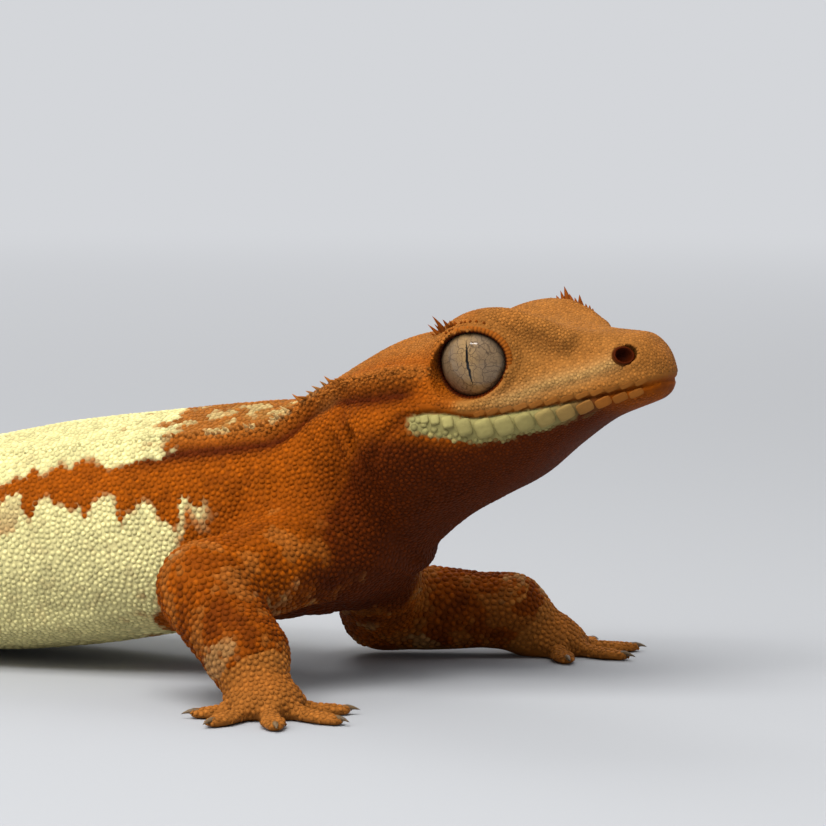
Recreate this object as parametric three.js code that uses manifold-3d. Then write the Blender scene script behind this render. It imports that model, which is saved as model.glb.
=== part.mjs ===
// A crested gecko as a life-size still model: it stands on its four feet with the head raised and the
// tail laid along the floor. Millimetres, +Z up, the head towards +X, the animal's left side towards +Y.
// The origin is under the middle of the model, at floor level.

import * as THREE from "three";
import { mergeVertices } from "three/addons/utils/BufferGeometryUtils.js";
import Module from "manifold-3d";

const wasm = await Module();
wasm.setup();

// Driving dimensions
const GAP = 0.3; // between touching pieces
const HEAD_LENGTH = 26; // snout tip to the back of the head, along its axis
const EYE_HEIGHT = 28.5; // of the eye centres over the floor
const EYE_STATION = 14.5; // snout tip to the eye centres, along the head's axis
const EYE_RADIUS = 3.6;
const EYE_SIDE = 5.1; // eye centre out from the middle
const HEAD_PITCH = 15; // degrees, snout up
const HEAD_YAW = 3; // degrees, towards the animal's left
const AXIS_DROP = 4.2; // the head's axis below the eye centres
const NOSE_ROUND = 2.0; // length of the rounded snout end
const TIP_ROUND = 1.5; // length of the rounded tail tip
const FLOOR_FLAT = 0.25; // how far soles and tail are lowered and cut, for small flats

const HEAD_SIDES = 32;
const BODY_SIDES = 28;
const TAIL_SIDES = 14;
const TOE_SIDES = 7;

const radians = THREE.MathUtils.degToRad;
const vec = (x, y, z) => new THREE.Vector3(x, y, z);

// Head stations: distance from the snout tip, half width, height above and depth below the axis
const HEAD_ROWS = [
  { at: 0, half: 2.7, up: 2.7, down: 2.2 },
  { at: 2.5, half: 3.7, up: 3.7, down: 2.65 },
  { at: 6.5, half: 5.2, up: 5.15, down: 3.25 },
  { at: 10.5, half: 7.0, up: 6.95, down: 4.7 },
  { at: 14.5, half: 8.5, up: 7.6, down: 6.5 },
  { at: 18.5, half: 9.9, up: 7.9, down: 7.4 },
  { at: 22.5, half: 10.7, up: 7.8, down: 8.4 },
  { at: 26.5, half: 9.8, up: 6.8, down: 10.1, pitch: 18 },
];

// Neck, trunk and tail stations: centre of the section, its pitch, half width, height and depth
const BODY_ROWS = [
  { x: -12.2, y: -0.65, z: 19.3, pitch: 27, half: 8.7, up: 7.6, down: 9.8 },
  { x: -14.0, y: -0.7, z: 16.9, pitch: 34, half: 8.5, up: 9.0, down: 9.0 },
  { x: -19.0, y: -0.9, z: 15.0, pitch: 24, half: 9.6, up: 9.7, down: 9.7 },
  { x: -27.0, y: -1.2, z: 13.7, pitch: 13, half: 10.6, up: 9.7, down: 9.6 },
  { x: -41.0, y: -1.6, z: 11.5, pitch: 7, half: 12.5, up: 10.0, down: 10.0 },
  { x: -52.0, y: -1.4, z: 9.9, pitch: 4, half: 13.3, up: 9.5, down: 9.4 },
  { x: -64.0, y: -0.4, z: 9.0, pitch: 3, half: 12.8, up: 8.6, down: 8.5 },
  { x: -75.0, y: 1.0, z: 8.3, pitch: 3, half: 11.0, up: 7.6, down: 7.5 },
  { x: -85.0, y: 2.2, z: 7.6, pitch: 4, half: 8.7, up: 6.5, down: 6.4 },
  { x: -92.0, y: 2.6, z: 6.6, pitch: 8, half: 6.3, up: 5.0, down: 4.9 },
  { x: -98.0, y: 2.6, z: 5.5, pitch: 9, half: 4.9, up: 4.1, down: 4.2 },
  { x: -106.0, y: 2.0, z: 4.1, pitch: 7, half: 4.3, up: 3.7, down: 3.7 },
  { x: -118.0, y: -1.2, z: 3.0, pitch: 2, half: 3.7, up: 3.2, down: 3.1 },
  { x: -130.0, y: -5.4, z: 2.6, pitch: 1, half: 3.1, up: 2.8, down: 2.7 },
  { x: -142.0, y: -8.6, z: 2.2, pitch: 1, half: 2.6, up: 2.4, down: 2.3 },
  { x: -154.0, y: -8.4, z: 1.9, pitch: 1, half: 2.1, up: 1.9, down: 2.0 },
  { x: -164.5, y: -3.6, z: 1.4, pitch: 1, half: 1.7, up: 1.4, down: 1.5 },
  { x: -172.0, y: 4.6, z: 0.95, pitch: 0, half: 1.5, up: 0.9, down: 1.05 },
  { x: -175.3, y: 11.0, z: 0.75, pitch: 0, half: 2.0, up: 0.6, down: 0.85 },
  { x: -175.6, y: 15.6, z: 0.7, pitch: 0, half: 1.5, up: 0.5, down: 0.8 },
];

// Where the body is parted, as distances from the snout tip along the axis
const CUTS = { neck: 26.0, torso: 36.0, tail: 119.0, tailMiddle: 146.0, tailEnd: 176.0 };

// How boxy the sections are above and below their widest level, and where the head's pass into the body's
const BOXINESS = { head: { up: 2.5, down: 2.15 }, body: { up: 2.15, down: 2.5 }, from: 24, over: 12 };

// Crest line: its angle over the widest level, in degrees, along the axis
const CREST_ANGLE = [
  [18, 27],
  [24, 30],
  [26, 34],
  [28.5, 47],
  [31, 55],
  [35, 50],
  [43, 47],
  [52, 44],
  [66, 43],
  [84, 46],
  [100, 52],
];

// Swellings (and hollows, with a negative rise) of the body's surface, the same on both sides
const SWELLINGS = [
  { name: "brow", at: 11.9, along: 4.3, angle: 53, across: 11, rise: 1.9 },
  { name: "hollow between the brows", at: 13, along: 5, angle: 90, across: 20, rise: -0.7 },
  { name: "nostril", at: 2.6, along: 1.5, angle: 28, across: 20, rise: 0.35 },
  { name: "hollow before the eye", at: 8.2, along: 2.8, angle: 30, across: 12, rise: -0.5 },
  { name: "groove of the snout", at: 6.2, along: 3.6, angle: 90, across: 15, rise: -0.3 },
  { name: "cheek", at: 22.2, along: 4.2, angle: -4, across: 17, rise: 0.6 },
  { name: "fold behind the cheek", at: 29, along: 2.2, angle: -8, across: 24, rise: -0.6 },
  { name: "fold of the flank", at: 72, along: 24, angle: -38, across: 6, rise: 0.4 },
];
// The crest stands highest on the head, whose share fades over the stretch behind headEnd
const CREST_RIDGE = {
  from: 17.5,
  to: 96,
  fade: 3,
  across: 5,
  rise: 0.6,
  bodyRise: 0.3,
  headEnd: 30,
  headFade: 8,
};
const CREST_GROOVE = { below: 11, across: 5.5, rise: -0.55 };

// A smooth curve through [place, value] pairs: cubic Hermite with finite-difference slopes.
function profile(pairs) {
  const slope = pairs.map((_, i) => {
    const [a, b] = [pairs[Math.max(i - 1, 0)], pairs[Math.min(i + 1, pairs.length - 1)]];
    return (b[1] - a[1]) / (b[0] - a[0]);
  });
  return (place) => {
    const last = pairs.length - 2;
    const found = pairs.findIndex((pair) => pair[0] > place) - 1;
    const i = found < -1 ? last : THREE.MathUtils.clamp(found, 0, last);
    const [x0, y0] = pairs[i];
    const [x1, y1] = pairs[i + 1];
    const span = x1 - x0;
    const t = THREE.MathUtils.clamp((place - x0) / span, 0, 1);
    const [t2, t3] = [t * t, t * t * t];
    return (
      y0 * (2 * t3 - 3 * t2 + 1) +
      slope[i] * span * (t3 - 2 * t2 + t) +
      y1 * (3 * t2 - 2 * t3) +
      slope[i + 1] * span * (t3 - t2)
    );
  };
}

// The head's own frame: its origin is midway between the eye centres
const headForward = vec(
  Math.cos(radians(HEAD_PITCH)) * Math.cos(radians(HEAD_YAW)),
  Math.cos(radians(HEAD_PITCH)) * Math.sin(radians(HEAD_YAW)),
  Math.sin(radians(HEAD_PITCH)),
);
const headLeft = vec(-Math.sin(radians(HEAD_YAW)), Math.cos(radians(HEAD_YAW)), 0);
const headUp = headForward.clone().cross(headLeft);
const headFrame = new THREE.Matrix4()
  .makeBasis(headForward, headLeft, headUp)
  .setPosition(0, 0, EYE_HEIGHT);
const inHead = (forward, left, up) => vec(forward, left, up).applyMatrix4(headFrame);

// The axis of the body, as stations with their distance from the snout tip
const stations = [
  ...HEAD_ROWS.map((row) => ({
    pitch: HEAD_PITCH,
    ...row,
    centre: inHead(EYE_STATION - row.at, 0, -AXIS_DROP),
  })),
  ...BODY_ROWS.map((row) => ({ ...row, centre: vec(row.x, row.y, row.z) })),
];
stations.forEach((row, i) => {
  row.at = i ? stations[i - 1].at + row.centre.distanceTo(stations[i - 1].centre) : 0;
});
const BODY_LENGTH = stations.at(-1).at;
const along = (pick) => profile(stations.map((row) => [row.at, pick(row)]));
const axis = {
  x: along((row) => row.centre.x),
  y: along((row) => row.centre.y),
  z: along((row) => row.centre.z),
  pitch: along((row) => row.pitch),
  half: along((row) => row.half),
  up: along((row) => row.up),
  down: along((row) => row.down),
};
const crestAngle = profile(CREST_ANGLE);

// The section plane at a distance from the snout tip: centre, left and up directions
function sectionFrame(at) {
  const step = 0.5;
  const heading =
    at < HEAD_LENGTH
      ? headForward
      : vec(axis.x(at - step) - axis.x(at + step), axis.y(at - step) - axis.y(at + step), 0);
  const yaw = Math.atan2(heading.y, heading.x);
  const pitch = radians(axis.pitch(at));
  const forward = vec(
    Math.cos(pitch) * Math.cos(yaw),
    Math.cos(pitch) * Math.sin(yaw),
    Math.sin(pitch),
  );
  const left = vec(-Math.sin(yaw), Math.cos(yaw), 0);
  const centre = vec(axis.x(at), axis.y(at), axis.z(at));
  return { centre, forward, left, up: forward.clone().cross(left) };
}

const bell = (x, width) => Math.exp(-((x / width) ** 2));
const ramp = (x) => THREE.MathUtils.smoothstep(x, 0, 1);

// How far the surface stands from the section's centre. angle is 0 at the widest level, 90 at the top
function sectionRadius(at, angle) {
  const above = angle > 0;
  const blend = ramp((at - BOXINESS.from) / BOXINESS.over);
  const side = above ? "up" : "down";
  const power = THREE.MathUtils.lerp(BOXINESS.head[side], BOXINESS.body[side], blend);
  const end = at < NOSE_ROUND ? Math.sqrt(1 - (1 - at / NOSE_ROUND) ** 2) : 1;
  const left = (BODY_LENGTH - at) / TIP_ROUND;
  const tip = left < 1 ? Math.sqrt(1 - (1 - left) ** 2) : 1;
  const across = Math.cos(radians(angle)) / axis.half(at);
  const height = Math.abs(Math.sin(radians(angle))) / axis[side](at);
  let radius = (across ** power + height ** power) ** (-1 / power);
  for (const s of SWELLINGS) {
    radius += s.rise * bell(at - s.at, s.along) * bell(angle - s.angle, s.across);
  }
  const onCrest =
    ramp((at - CREST_RIDGE.from) / CREST_RIDGE.fade) * ramp((CREST_RIDGE.to - at) / CREST_RIDGE.fade);
  const fromCrest = angle - crestAngle(at);
  const onHead = 1 - ramp((at - CREST_RIDGE.headEnd) / CREST_RIDGE.headFade);
  const rise = THREE.MathUtils.lerp(CREST_RIDGE.bodyRise, CREST_RIDGE.rise, onHead);
  radius += rise * onCrest * bell(fromCrest, CREST_RIDGE.across);
  const groove = bell(fromCrest + CREST_GROOVE.below, CREST_GROOVE.across);
  radius += CREST_GROOVE.rise * onCrest * onHead * groove;
  return radius * end * tip;
}

// A point of the body's surface. side is 1 on the left and -1 on the right
function surfacePoint(at, angle, side, out = 0) {
  const f = sectionFrame(at);
  const radius = sectionRadius(at, angle) + out;
  return f.centre
    .clone()
    .addScaledVector(f.left, side * radius * Math.cos(radians(angle)))
    .addScaledVector(f.up, radius * Math.sin(radians(angle)));
}

function surfaceNormal(at, angle, side) {
  const [da, dt] = [0.4, 4];
  const u = surfacePoint(at + da, angle, side).sub(surfacePoint(at - da, angle, side));
  const v = surfacePoint(at, angle + dt, side).sub(surfacePoint(at, angle - dt, side));
  return u.cross(v).multiplyScalar(side).normalize();
}

// A closed skin over rings of points, with a flat fan over each end
function loft(rings) {
  const n = rings[0].length;
  const ends = [rings[0], rings.at(-1)].map((ring) =>
    ring.reduce((sum, p) => sum.add(p), vec(0, 0, 0)).divideScalar(n),
  );
  const points = [...rings.flat(), ...ends];
  const faces = [];
  const [first, last] = [rings.length * n, rings.length * n + 1];
  for (let i = 0; i < n; i++) {
    const j = (i + 1) % n;
    faces.push(first, j, i);
    faces.push(last, (rings.length - 1) * n + i, (rings.length - 1) * n + j);
    for (let r = 0; r < rings.length - 1; r++) {
      const [a, b, c, d] = [r * n + i, r * n + j, (r + 1) * n + i, (r + 1) * n + j];
      faces.push(a, b, c, b, d, c);
    }
  }
  const geometry = new THREE.BufferGeometry().setFromPoints(points);
  geometry.setIndex(faces);
  return geometry;
}

// A stretch of the body between two distances from the snout tip, grown outwards by out
function bodyStretch(from, to, count, sides, out = 0) {
  const rings = [];
  for (let i = 0; i <= count; i++) {
    const at = from + ((to - from) * i) / count;
    rings.push(bodyRing(at, sides, out));
  }
  return loft(rings);
}

function bodyRing(at, sides, out = 0) {
  const ring = [];
  for (let k = 0; k < sides; k++) {
    const turn = (360 * k) / sides;
    const folded = turn <= 90 ? turn : turn <= 270 ? 180 - turn : turn - 360;
    const side = turn <= 90 || turn > 270 ? 1 : -1;
    ring.push(surfacePoint(at, folded, side, out));
  }
  return ring;
}

// A closed solid from a geometry, its corners merged and its faces turned outwards
function solid(geometry, matrix = new THREE.Matrix4()) {
  const g = geometry.clone().applyMatrix4(matrix);
  g.deleteAttribute("normal");
  g.deleteAttribute("uv");
  const merged = mergeVertices(g, 1e-4);
  const triVerts = new Uint32Array(merged.index.array);
  const make = () =>
    new wasm.Manifold(
      new wasm.Mesh({ numProp: 3, vertProperties: merged.attributes.position.array, triVerts }),
    );
  const made = make();
  if (made.volume() >= 0) return made;
  for (let i = 0; i < triVerts.length; i += 3) {
    [triVerts[i + 1], triVerts[i + 2]] = [triVerts[i + 2], triVerts[i + 1]];
  }
  return make();
}

const joined = (pieces) => wasm.Manifold.union(pieces);

function largest(manifold) {
  return manifold.decompose().reduce((a, b) => (b.volume() > a.volume() ? b : a));
}

function geometryOf(manifold) {
  const mesh = manifold.getMesh();
  const geometry = new THREE.BufferGeometry();
  geometry.setAttribute("position", new THREE.BufferAttribute(mesh.vertProperties, 3));
  geometry.setIndex(new THREE.BufferAttribute(mesh.triVerts, 1));
  return geometry;
}

// Keeps the side of a plane that its normal points to, half a gap clear of it
const keepBeyond = (manifold, point, normal) =>
  manifold.trimByPlane(normal.toArray(), point.dot(normal) + GAP / 2);

const aboveFloor = (manifold) => manifold.trimByPlane([0, 0, 1], 0);

// Turns +Y onto a direction
function placed(from, direction) {
  const y = direction.clone().normalize();
  const x = vec(0, 0, 1).cross(y).normalize();
  const z = x.clone().cross(y).normalize();
  return new THREE.Matrix4().makeBasis(x, y, z).setPosition(from);
}

// A round-ended limb bone shape: radii are [share of length, radius] pairs
function limb(from, to, radii, sides, steps) {
  const length = to.distanceTo(from);
  const radius = profile(radii);
  const [r0, r1] = [radius(0), radius(1)];
  const outline = [new THREE.Vector2(0, -r0)];
  for (const turn of [-60, -30]) {
    outline.push(new THREE.Vector2(r0 * Math.cos(radians(turn)), r0 * Math.sin(radians(turn))));
  }
  for (let i = 0; i <= steps; i++) {
    outline.push(new THREE.Vector2(radius(i / steps), (length * i) / steps));
  }
  for (const turn of [30, 60]) {
    const end = length + r1 * Math.sin(radians(turn));
    outline.push(new THREE.Vector2(r1 * Math.cos(radians(turn)), end));
  }
  outline.push(new THREE.Vector2(0, length + r1));
  return solid(new THREE.LatheGeometry(outline, sides), placed(from, to.clone().sub(from)));
}

// A short spine: a cone with its root sunk in and its tip out along a direction
function spine(root, direction, length, radius, sunk = 0.45, sides = 5) {
  const cone = new THREE.ConeGeometry(radius, length + sunk, sides, 1);
  cone.translate(0, (length + sunk) / 2, 0);
  const y = direction.clone().normalize();
  const turn = new THREE.Quaternion().setFromUnitVectors(vec(0, 1, 0), y);
  const start = root.clone().addScaledVector(y, -sunk);
  return solid(cone, new THREE.Matrix4().compose(start, turn, vec(1, 1, 1)));
}

// Eyes: the visible dome looks out and a little down
const eyeCentre = (side) => inHead(0, side * EYE_SIDE, 0);
const eyeGeometry = new THREE.SphereGeometry(EYE_RADIUS, 20, 12);
const eyeSocket = (side) =>
  solid(
    new THREE.SphereGeometry(EYE_RADIUS + GAP, 20, 12),
    new THREE.Matrix4().setPosition(eyeCentre(side)),
  );
const gaze = (side) => vec(0.02, side * 0.985, -0.15).transformDirection(headFrame);

// A frame on an eye's centre: forward and up across its gaze, then the gaze itself
function eyeFrame(side) {
  const z = gaze(side);
  const x = headForward.clone().addScaledVector(z, -headForward.dot(z)).normalize();
  const y = z.clone().cross(x).multiplyScalar(-side);
  return new THREE.Matrix4().makeBasis(x, y, z).setPosition(eyeCentre(side));
}

// The lids: a shell round each eye, with a long round opening before it
const LID_RADIUS = 4.15;
const OPENING = { half: 3.42, tall: 2.85, back: 0.08, up: 0.25, from: 1.0, depth: 4 };
const eyeLid = (side) => solid(new THREE.SphereGeometry(LID_RADIUS, 24, 14), eyeFrame(side));
function eyeOpening(side) {
  const bore = new THREE.CylinderGeometry(1, 1, OPENING.depth, 20);
  bore.rotateX(Math.PI / 2);
  bore.scale(OPENING.half, OPENING.tall, 1);
  bore.translate(-OPENING.back, OPENING.up, OPENING.from + OPENING.depth / 2);
  return solid(bore, eyeFrame(side));
}

// Lash spines round the upper and rear edge of the lids, longest at the back
const LASHES = { count: 13, from: 22, to: 196, margin: 0.35, shortest: 0.75, rear: 1.3, front: 0.7 };
function lashes(side) {
  const frame = eyeFrame(side);
  return Array.from({ length: LASHES.count }, (_, i) => {
    const share = i / (LASHES.count - 1);
    const turn = radians(THREE.MathUtils.lerp(LASHES.from, LASHES.to, share));
    const x = (OPENING.half + LASHES.margin) * Math.cos(turn) - OPENING.back;
    const y = (OPENING.tall + LASHES.margin) * Math.sin(turn) + OPENING.up;
    const z = Math.sqrt(Math.max(LID_RADIUS ** 2 - x ** 2 - y ** 2, 0));
    const tall = LASHES.rear * bell(share - 0.64, 0.16) + LASHES.front * bell(share - 0.22, 0.14);
    const length = LASHES.shortest + tall * (i % 2 ? 1 : 0.7);
    const lean = vec(Math.cos(turn) - 0.35, Math.sin(turn), 0.35).transformDirection(frame);
    return spine(vec(x, y, z).applyMatrix4(frame), lean, length, 0.34);
  });
}

// Crest spines between two distances from the snout tip, on both sides
function crestSpines(from, to, spacing, length, radius = 0.36) {
  const spines = [];
  const count = Math.round((to - from) / spacing);
  for (const side of [1, -1]) {
    for (let i = 0; i < count; i++) {
      const at = from + ((to - from) * (i + 0.5)) / count;
      const angle = crestAngle(at);
      const normal = surfaceNormal(at, angle, side);
      const lean = normal.addScaledVector(sectionFrame(at).forward, -0.35);
      spines.push(spine(surfacePoint(at, angle, side), lean, length(at), radius));
    }
  }
  return spines;
}

// The line of the mouth, in the head's frame, as [forward of the eyes, above the eyes] pairs
const MOUTH_LINE = [
  [-5.6, -3.25],
  [-4, -3.3],
  [-2.2, -3.9],
  [-0.8, -4.55],
  [2.4, -4.9],
  [7.4, -5.2],
  [12.5, -5.3],
  [16, -5.2],
];
// The back edge of the lower jaw, from the corner of the mouth down to the throat
const JAW_BACK = [
  [-7.0, -4.4],
  [-9.0, -8.2],
  [-11.6, -13.0],
  [-15.5, -20.0],
];
const JAW_HALF_WIDTH = 14;

// A side view of the head drawn out across its whole width
function acrossHead(shape) {
  const slab = new THREE.ExtrudeGeometry(shape, { depth: 2 * JAW_HALF_WIDTH, bevelEnabled: false });
  slab.translate(0, 0, -JAW_HALF_WIDTH);
  slab.rotateX(Math.PI / 2);
  return solid(slab, headFrame);
}

// Everything below the mouth line and before the jaw's back edge, grown up by out
function jawRegion(out) {
  const edge = [...JAW_BACK].reverse().concat(MOUTH_LINE);
  const shape = new THREE.Shape();
  const [startX, startY] = edge[0];
  shape.moveTo(startX - out, startY);
  for (const [forward, up] of edge.slice(1, JAW_BACK.length)) {
    shape.lineTo(forward - out, up + out / 2);
  }
  for (const [forward, up] of MOUTH_LINE) shape.lineTo(forward, up + out);
  shape.lineTo(MOUTH_LINE.at(-1)[0], startY);
  return acrossHead(shape);
}

// Everything above the mouth line, which the lip plates stay clear of
const ABOVE_MOUTH = { back: -20, front: 18, top: 12 };
function upperRegion() {
  const shape = new THREE.Shape();
  shape.moveTo(ABOVE_MOUTH.back, ABOVE_MOUTH.top);
  shape.lineTo(ABOVE_MOUTH.front, ABOVE_MOUTH.top);
  for (const [forward, up] of [...MOUTH_LINE].reverse()) shape.lineTo(forward, up);
  shape.lineTo(ABOVE_MOUTH.back, MOUTH_LINE[0][1]);
  return acrossHead(shape);
}

// Where the head's surface lies at a forward and up place in the head's frame
function onHead(forward, up) {
  const at = EYE_STATION - forward;
  const height = up + AXIS_DROP;
  let angle = THREE.MathUtils.radToDeg(Math.atan2(height, axis.half(at)));
  for (let i = 0; i < 8; i++) {
    const reach = sectionRadius(at, angle) * Math.cos(radians(angle));
    angle = THREE.MathUtils.radToDeg(Math.atan2(height, reach));
  }
  return { at, angle };
}

// Lip plates of the lower jaw: rounded plates in a row under the mouth line
const LIP_PLATES = { from: -5.2, to: 11.6, count: 10, height: 1.6, depth: 0.5 };
function lipPlates() {
  const mouth = profile(MOUTH_LINE);
  const plates = [];
  const spacing = (LIP_PLATES.to - LIP_PLATES.from) / LIP_PLATES.count;
  for (const side of [1, -1]) {
    for (let i = 0; i < LIP_PLATES.count; i++) {
      const forward = LIP_PLATES.from + spacing * (i + 0.5);
      const height = LIP_PLATES.height * THREE.MathUtils.lerp(1, 0.6, i / LIP_PLATES.count);
      const { at, angle } = onHead(forward, mouth(forward) - height / 2 - 0.25);
      const normal = surfaceNormal(at, angle, side);
      const plate = new THREE.SphereGeometry(1, 7, 4);
      plate.scale(spacing * 0.53, height / 2, LIP_PLATES.depth);
      const x = headForward.clone().addScaledVector(normal, -headForward.dot(normal)).normalize();
      const y = new THREE.Vector3().crossVectors(normal, x);
      const matrix = new THREE.Matrix4()
        .makeBasis(x, y, normal)
        .setPosition(surfacePoint(at, angle, side));
      plates.push(solid(plate, matrix));
    }
  }
  return plates;
}

// Nostrils and ear openings: pits cut into the head
const NOSTRIL = { forward: 12, up: -2.4, radii: [0.95, 1.1, 0.75] };
const EAR = { forward: -11.4, up: -4.1, radii: [0.8, 1.1, 1.5] };
function headPits() {
  return [1, -1].flatMap((side) =>
    [NOSTRIL, EAR].map((pit) => {
      const { at, angle } = onHead(pit.forward, pit.up);
      const ball = new THREE.SphereGeometry(1, 12, 8);
      ball.scale(...pit.radii);
      return solid(ball, headFrame.clone().setPosition(surfacePoint(at, angle, side)));
    }),
  );
}

// Limbs: joint centres and radii. Each list runs shoulder, elbow, wrist, palm or hip, knee, ankle, sole
const ARM_RADII = [
  [0, 3.7],
  [0.45, 4.1],
  [1, 3.7],
];
const FOREARM_RADII = [
  [0, 3.7],
  [0.35, 3.85],
  [1, 3.2],
];
const THIGH_RADII = [
  [0, 4.6],
  [0.4, 4.9],
  [1, 3.4],
];
const SHIN_RADII = [
  [0, 3.6],
  [0.35, 3.7],
  [1, 2.8],
];
const HAND = {
  palm: [3.5, 3.4, 1.9],
  toes: [
    [-100, 3.6],
    [-55, 5.0],
    [-12, 5.8],
    [32, 5.6],
    [78, 4.6],
  ],
};
const FOOT = {
  palm: [3.9, 3.4, 1.9],
  toes: [
    [-92, 4.0],
    [-48, 5.8],
    [-14, 7.0],
    [18, 7.6],
    [66, 6.2],
  ],
};
const LIMBS = [
  {
    names: ["arm_right_upper", "arm_right_lower", "hand_right"],
    side: -1,
    joints: [vec(-13.6, -6.4, 12.0), vec(-19.4, -17.9, 9.5), vec(-13.0, -21.7, 4.6)],
    palmAt: vec(-10.6, -23.2, 1.25),
    heading: -42,
    radii: [ARM_RADII, FOREARM_RADII],
    foot: HAND,
  },
  {
    names: ["arm_left_upper", "arm_left_lower", "hand_left"],
    side: 1,
    joints: [vec(-15.5, 4.0, 10.2), vec(-19.4, 13.8, 4.3), vec(-9.2, 18.8, 3.9)],
    palmAt: vec(-6.3, 20.7, 1.25),
    heading: 28,
    radii: [ARM_RADII, FOREARM_RADII],
    foot: HAND,
  },
  {
    names: ["leg_right_upper", "leg_right_lower", "foot_right"],
    side: -1,
    joints: [vec(-84.5, -2.6, 8.6), vec(-72.5, -18.0, 9.4), vec(-84.5, -25.6, 4.4)],
    palmAt: vec(-85.0, -28.4, 1.3),
    heading: -52,
    radii: [THIGH_RADII, SHIN_RADII],
    foot: FOOT,
  },
  {
    names: ["leg_left_upper", "leg_left_lower", "foot_left"],
    side: 1,
    joints: [vec(-84.5, 6.8, 8.6), vec(-79.0, 24.0, 9.0), vec(-92.5, 28.4, 4.4)],
    palmAt: vec(-94.0, 31.0, 1.3),
    heading: 62,
    radii: [THIGH_RADII, SHIN_RADII],
    foot: FOOT,
  },
];

// Toe sections: share of length, half width, centre height and half height
const TOE_SHAPE = [
  [0, 0.95, 0.75, 0.9],
  [0.45, 0.85, 0.6, 0.75],
  [0.62, 1.15, 0.5, 0.65],
  [0.85, 1.3, 0.45, 0.6],
  [1, 0.75, 0.4, 0.5],
];
const CLAW = { length: 1.25, radius: 0.34, sunk: 0.7, height: 0.55 };
// Where wrists and ankles run into the palms and soles, and where the toes start from their middles
const ANKLE = { height: 1.9, radius: 2.1 };
const TOE = { start: 1.2, extra: 0.6 };

function toe(centre, heading, turn, reach, side) {
  const yaw = radians(heading + turn * -side);
  const out = vec(Math.cos(yaw), Math.sin(yaw), 0);
  const across = vec(-out.y, out.x, 0);
  const rings = TOE_SHAPE.map(([share, half, high, tall]) =>
    Array.from({ length: TOE_SIDES }, (_, k) => {
      const angle = (2 * Math.PI * (k + 0.5)) / TOE_SIDES;
      return vec(centre.x, centre.y, high - FLOOR_FLAT / 2)
        .addScaledVector(out, share * reach)
        .addScaledVector(across, half * Math.cos(angle))
        .add(vec(0, 0, tall * Math.sin(angle)));
    }),
  );
  const tip = vec(centre.x, centre.y, CLAW.height).addScaledVector(out, reach);
  const claw = spine(tip, out.clone().setZ(0.05), CLAW.length, CLAW.radius, CLAW.sunk);
  return [solid(loft(rings)), claw];
}

// A hand or foot: flattened palm, wrist end, toes with pads and claws
function footSolid(spec) {
  const { palmAt, heading, foot, side, joints } = spec;
  const [long, wide, tall] = foot.palm;
  const ball = new THREE.SphereGeometry(1, 12, 6);
  const turn = new THREE.Quaternion().setFromAxisAngle(vec(0, 0, 1), radians(heading));
  const palm = solid(ball, new THREE.Matrix4().compose(palmAt, turn, vec(long, wide, tall)));
  const wristRadius = spec.radii[1].at(-1)[1];
  const radii = [
    [0, wristRadius],
    [1, ANKLE.radius],
  ];
  const link = limb(joints[2], palmAt.clone().setZ(ANKLE.height), radii, 10, 2);
  const toes = foot.toes.flatMap(([turned, length]) => {
    const yaw = radians(heading + turned * -side);
    const out = vec(Math.cos(yaw), Math.sin(yaw), 0);
    return toe(palmAt.clone().addScaledVector(out, TOE.start), heading, turned, length + TOE.extra, side);
  });
  return joined([palm, link, ...toes]);
}

// Parting planes through a joint, between the directions of its two bones
function partingNormal(before, joint, after) {
  const inward = joint.clone().sub(before).normalize();
  const outward = after.clone().sub(joint).normalize();
  return inward.add(outward).normalize();
}

function limbSolids(spec, bodyGrown) {
  const [root, middle, end] = spec.joints;
  const elbow = partingNormal(root, middle, end);
  const wrist = partingNormal(middle, end, spec.palmAt.clone().setZ(ANKLE.height));
  const upper = limb(root, middle, spec.radii[0], 14, 6);
  const lower = limb(middle, end, spec.radii[1], 14, 6);
  const whole = footSolid(spec);
  return [
    largest(keepBeyond(upper, middle, elbow.clone().negate()).subtract(bodyGrown)),
    largest(
      keepBeyond(keepBeyond(lower, middle, elbow), end, wrist.clone().negate()).subtract(bodyGrown),
    ),
    largest(aboveFloor(keepBeyond(whole, end, wrist)).subtract(bodyGrown)),
  ];
}

// The body's stretches, whole first and then parted
const SNOUT_RINGS = [0.02, 0.25, 0.7, 1.3, 2.0, 2.9, 3.9];
function headLoft(out = 0) {
  const rings = SNOUT_RINGS.map((at) => bodyRing(at, HEAD_SIDES, out));
  const count = 18;
  for (let i = 0; i <= count; i++) {
    rings.push(bodyRing(5 + ((CUTS.neck - GAP / 2 - 5) * i) / count, HEAD_SIDES, out));
  }
  return loft(rings);
}

const hollows = joined([eyeSocket(1), eyeSocket(-1), eyeOpening(1), eyeOpening(-1)]);
const headWhole = joined([
  solid(headLoft()),
  eyeLid(1),
  eyeLid(-1),
  ...lashes(1),
  ...lashes(-1),
  ...crestSpines(18.8, CUTS.neck - 0.4, 1.0, () => 0.75),
]);
const headSolid = headWhole.subtract(joined([hollows, jawRegion(GAP), ...headPits()]));
const jawSolid = joined([solid(headLoft()).intersect(jawRegion(0)), ...lipPlates()])
  .subtract(joined([hollows, upperRegion()]));

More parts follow.
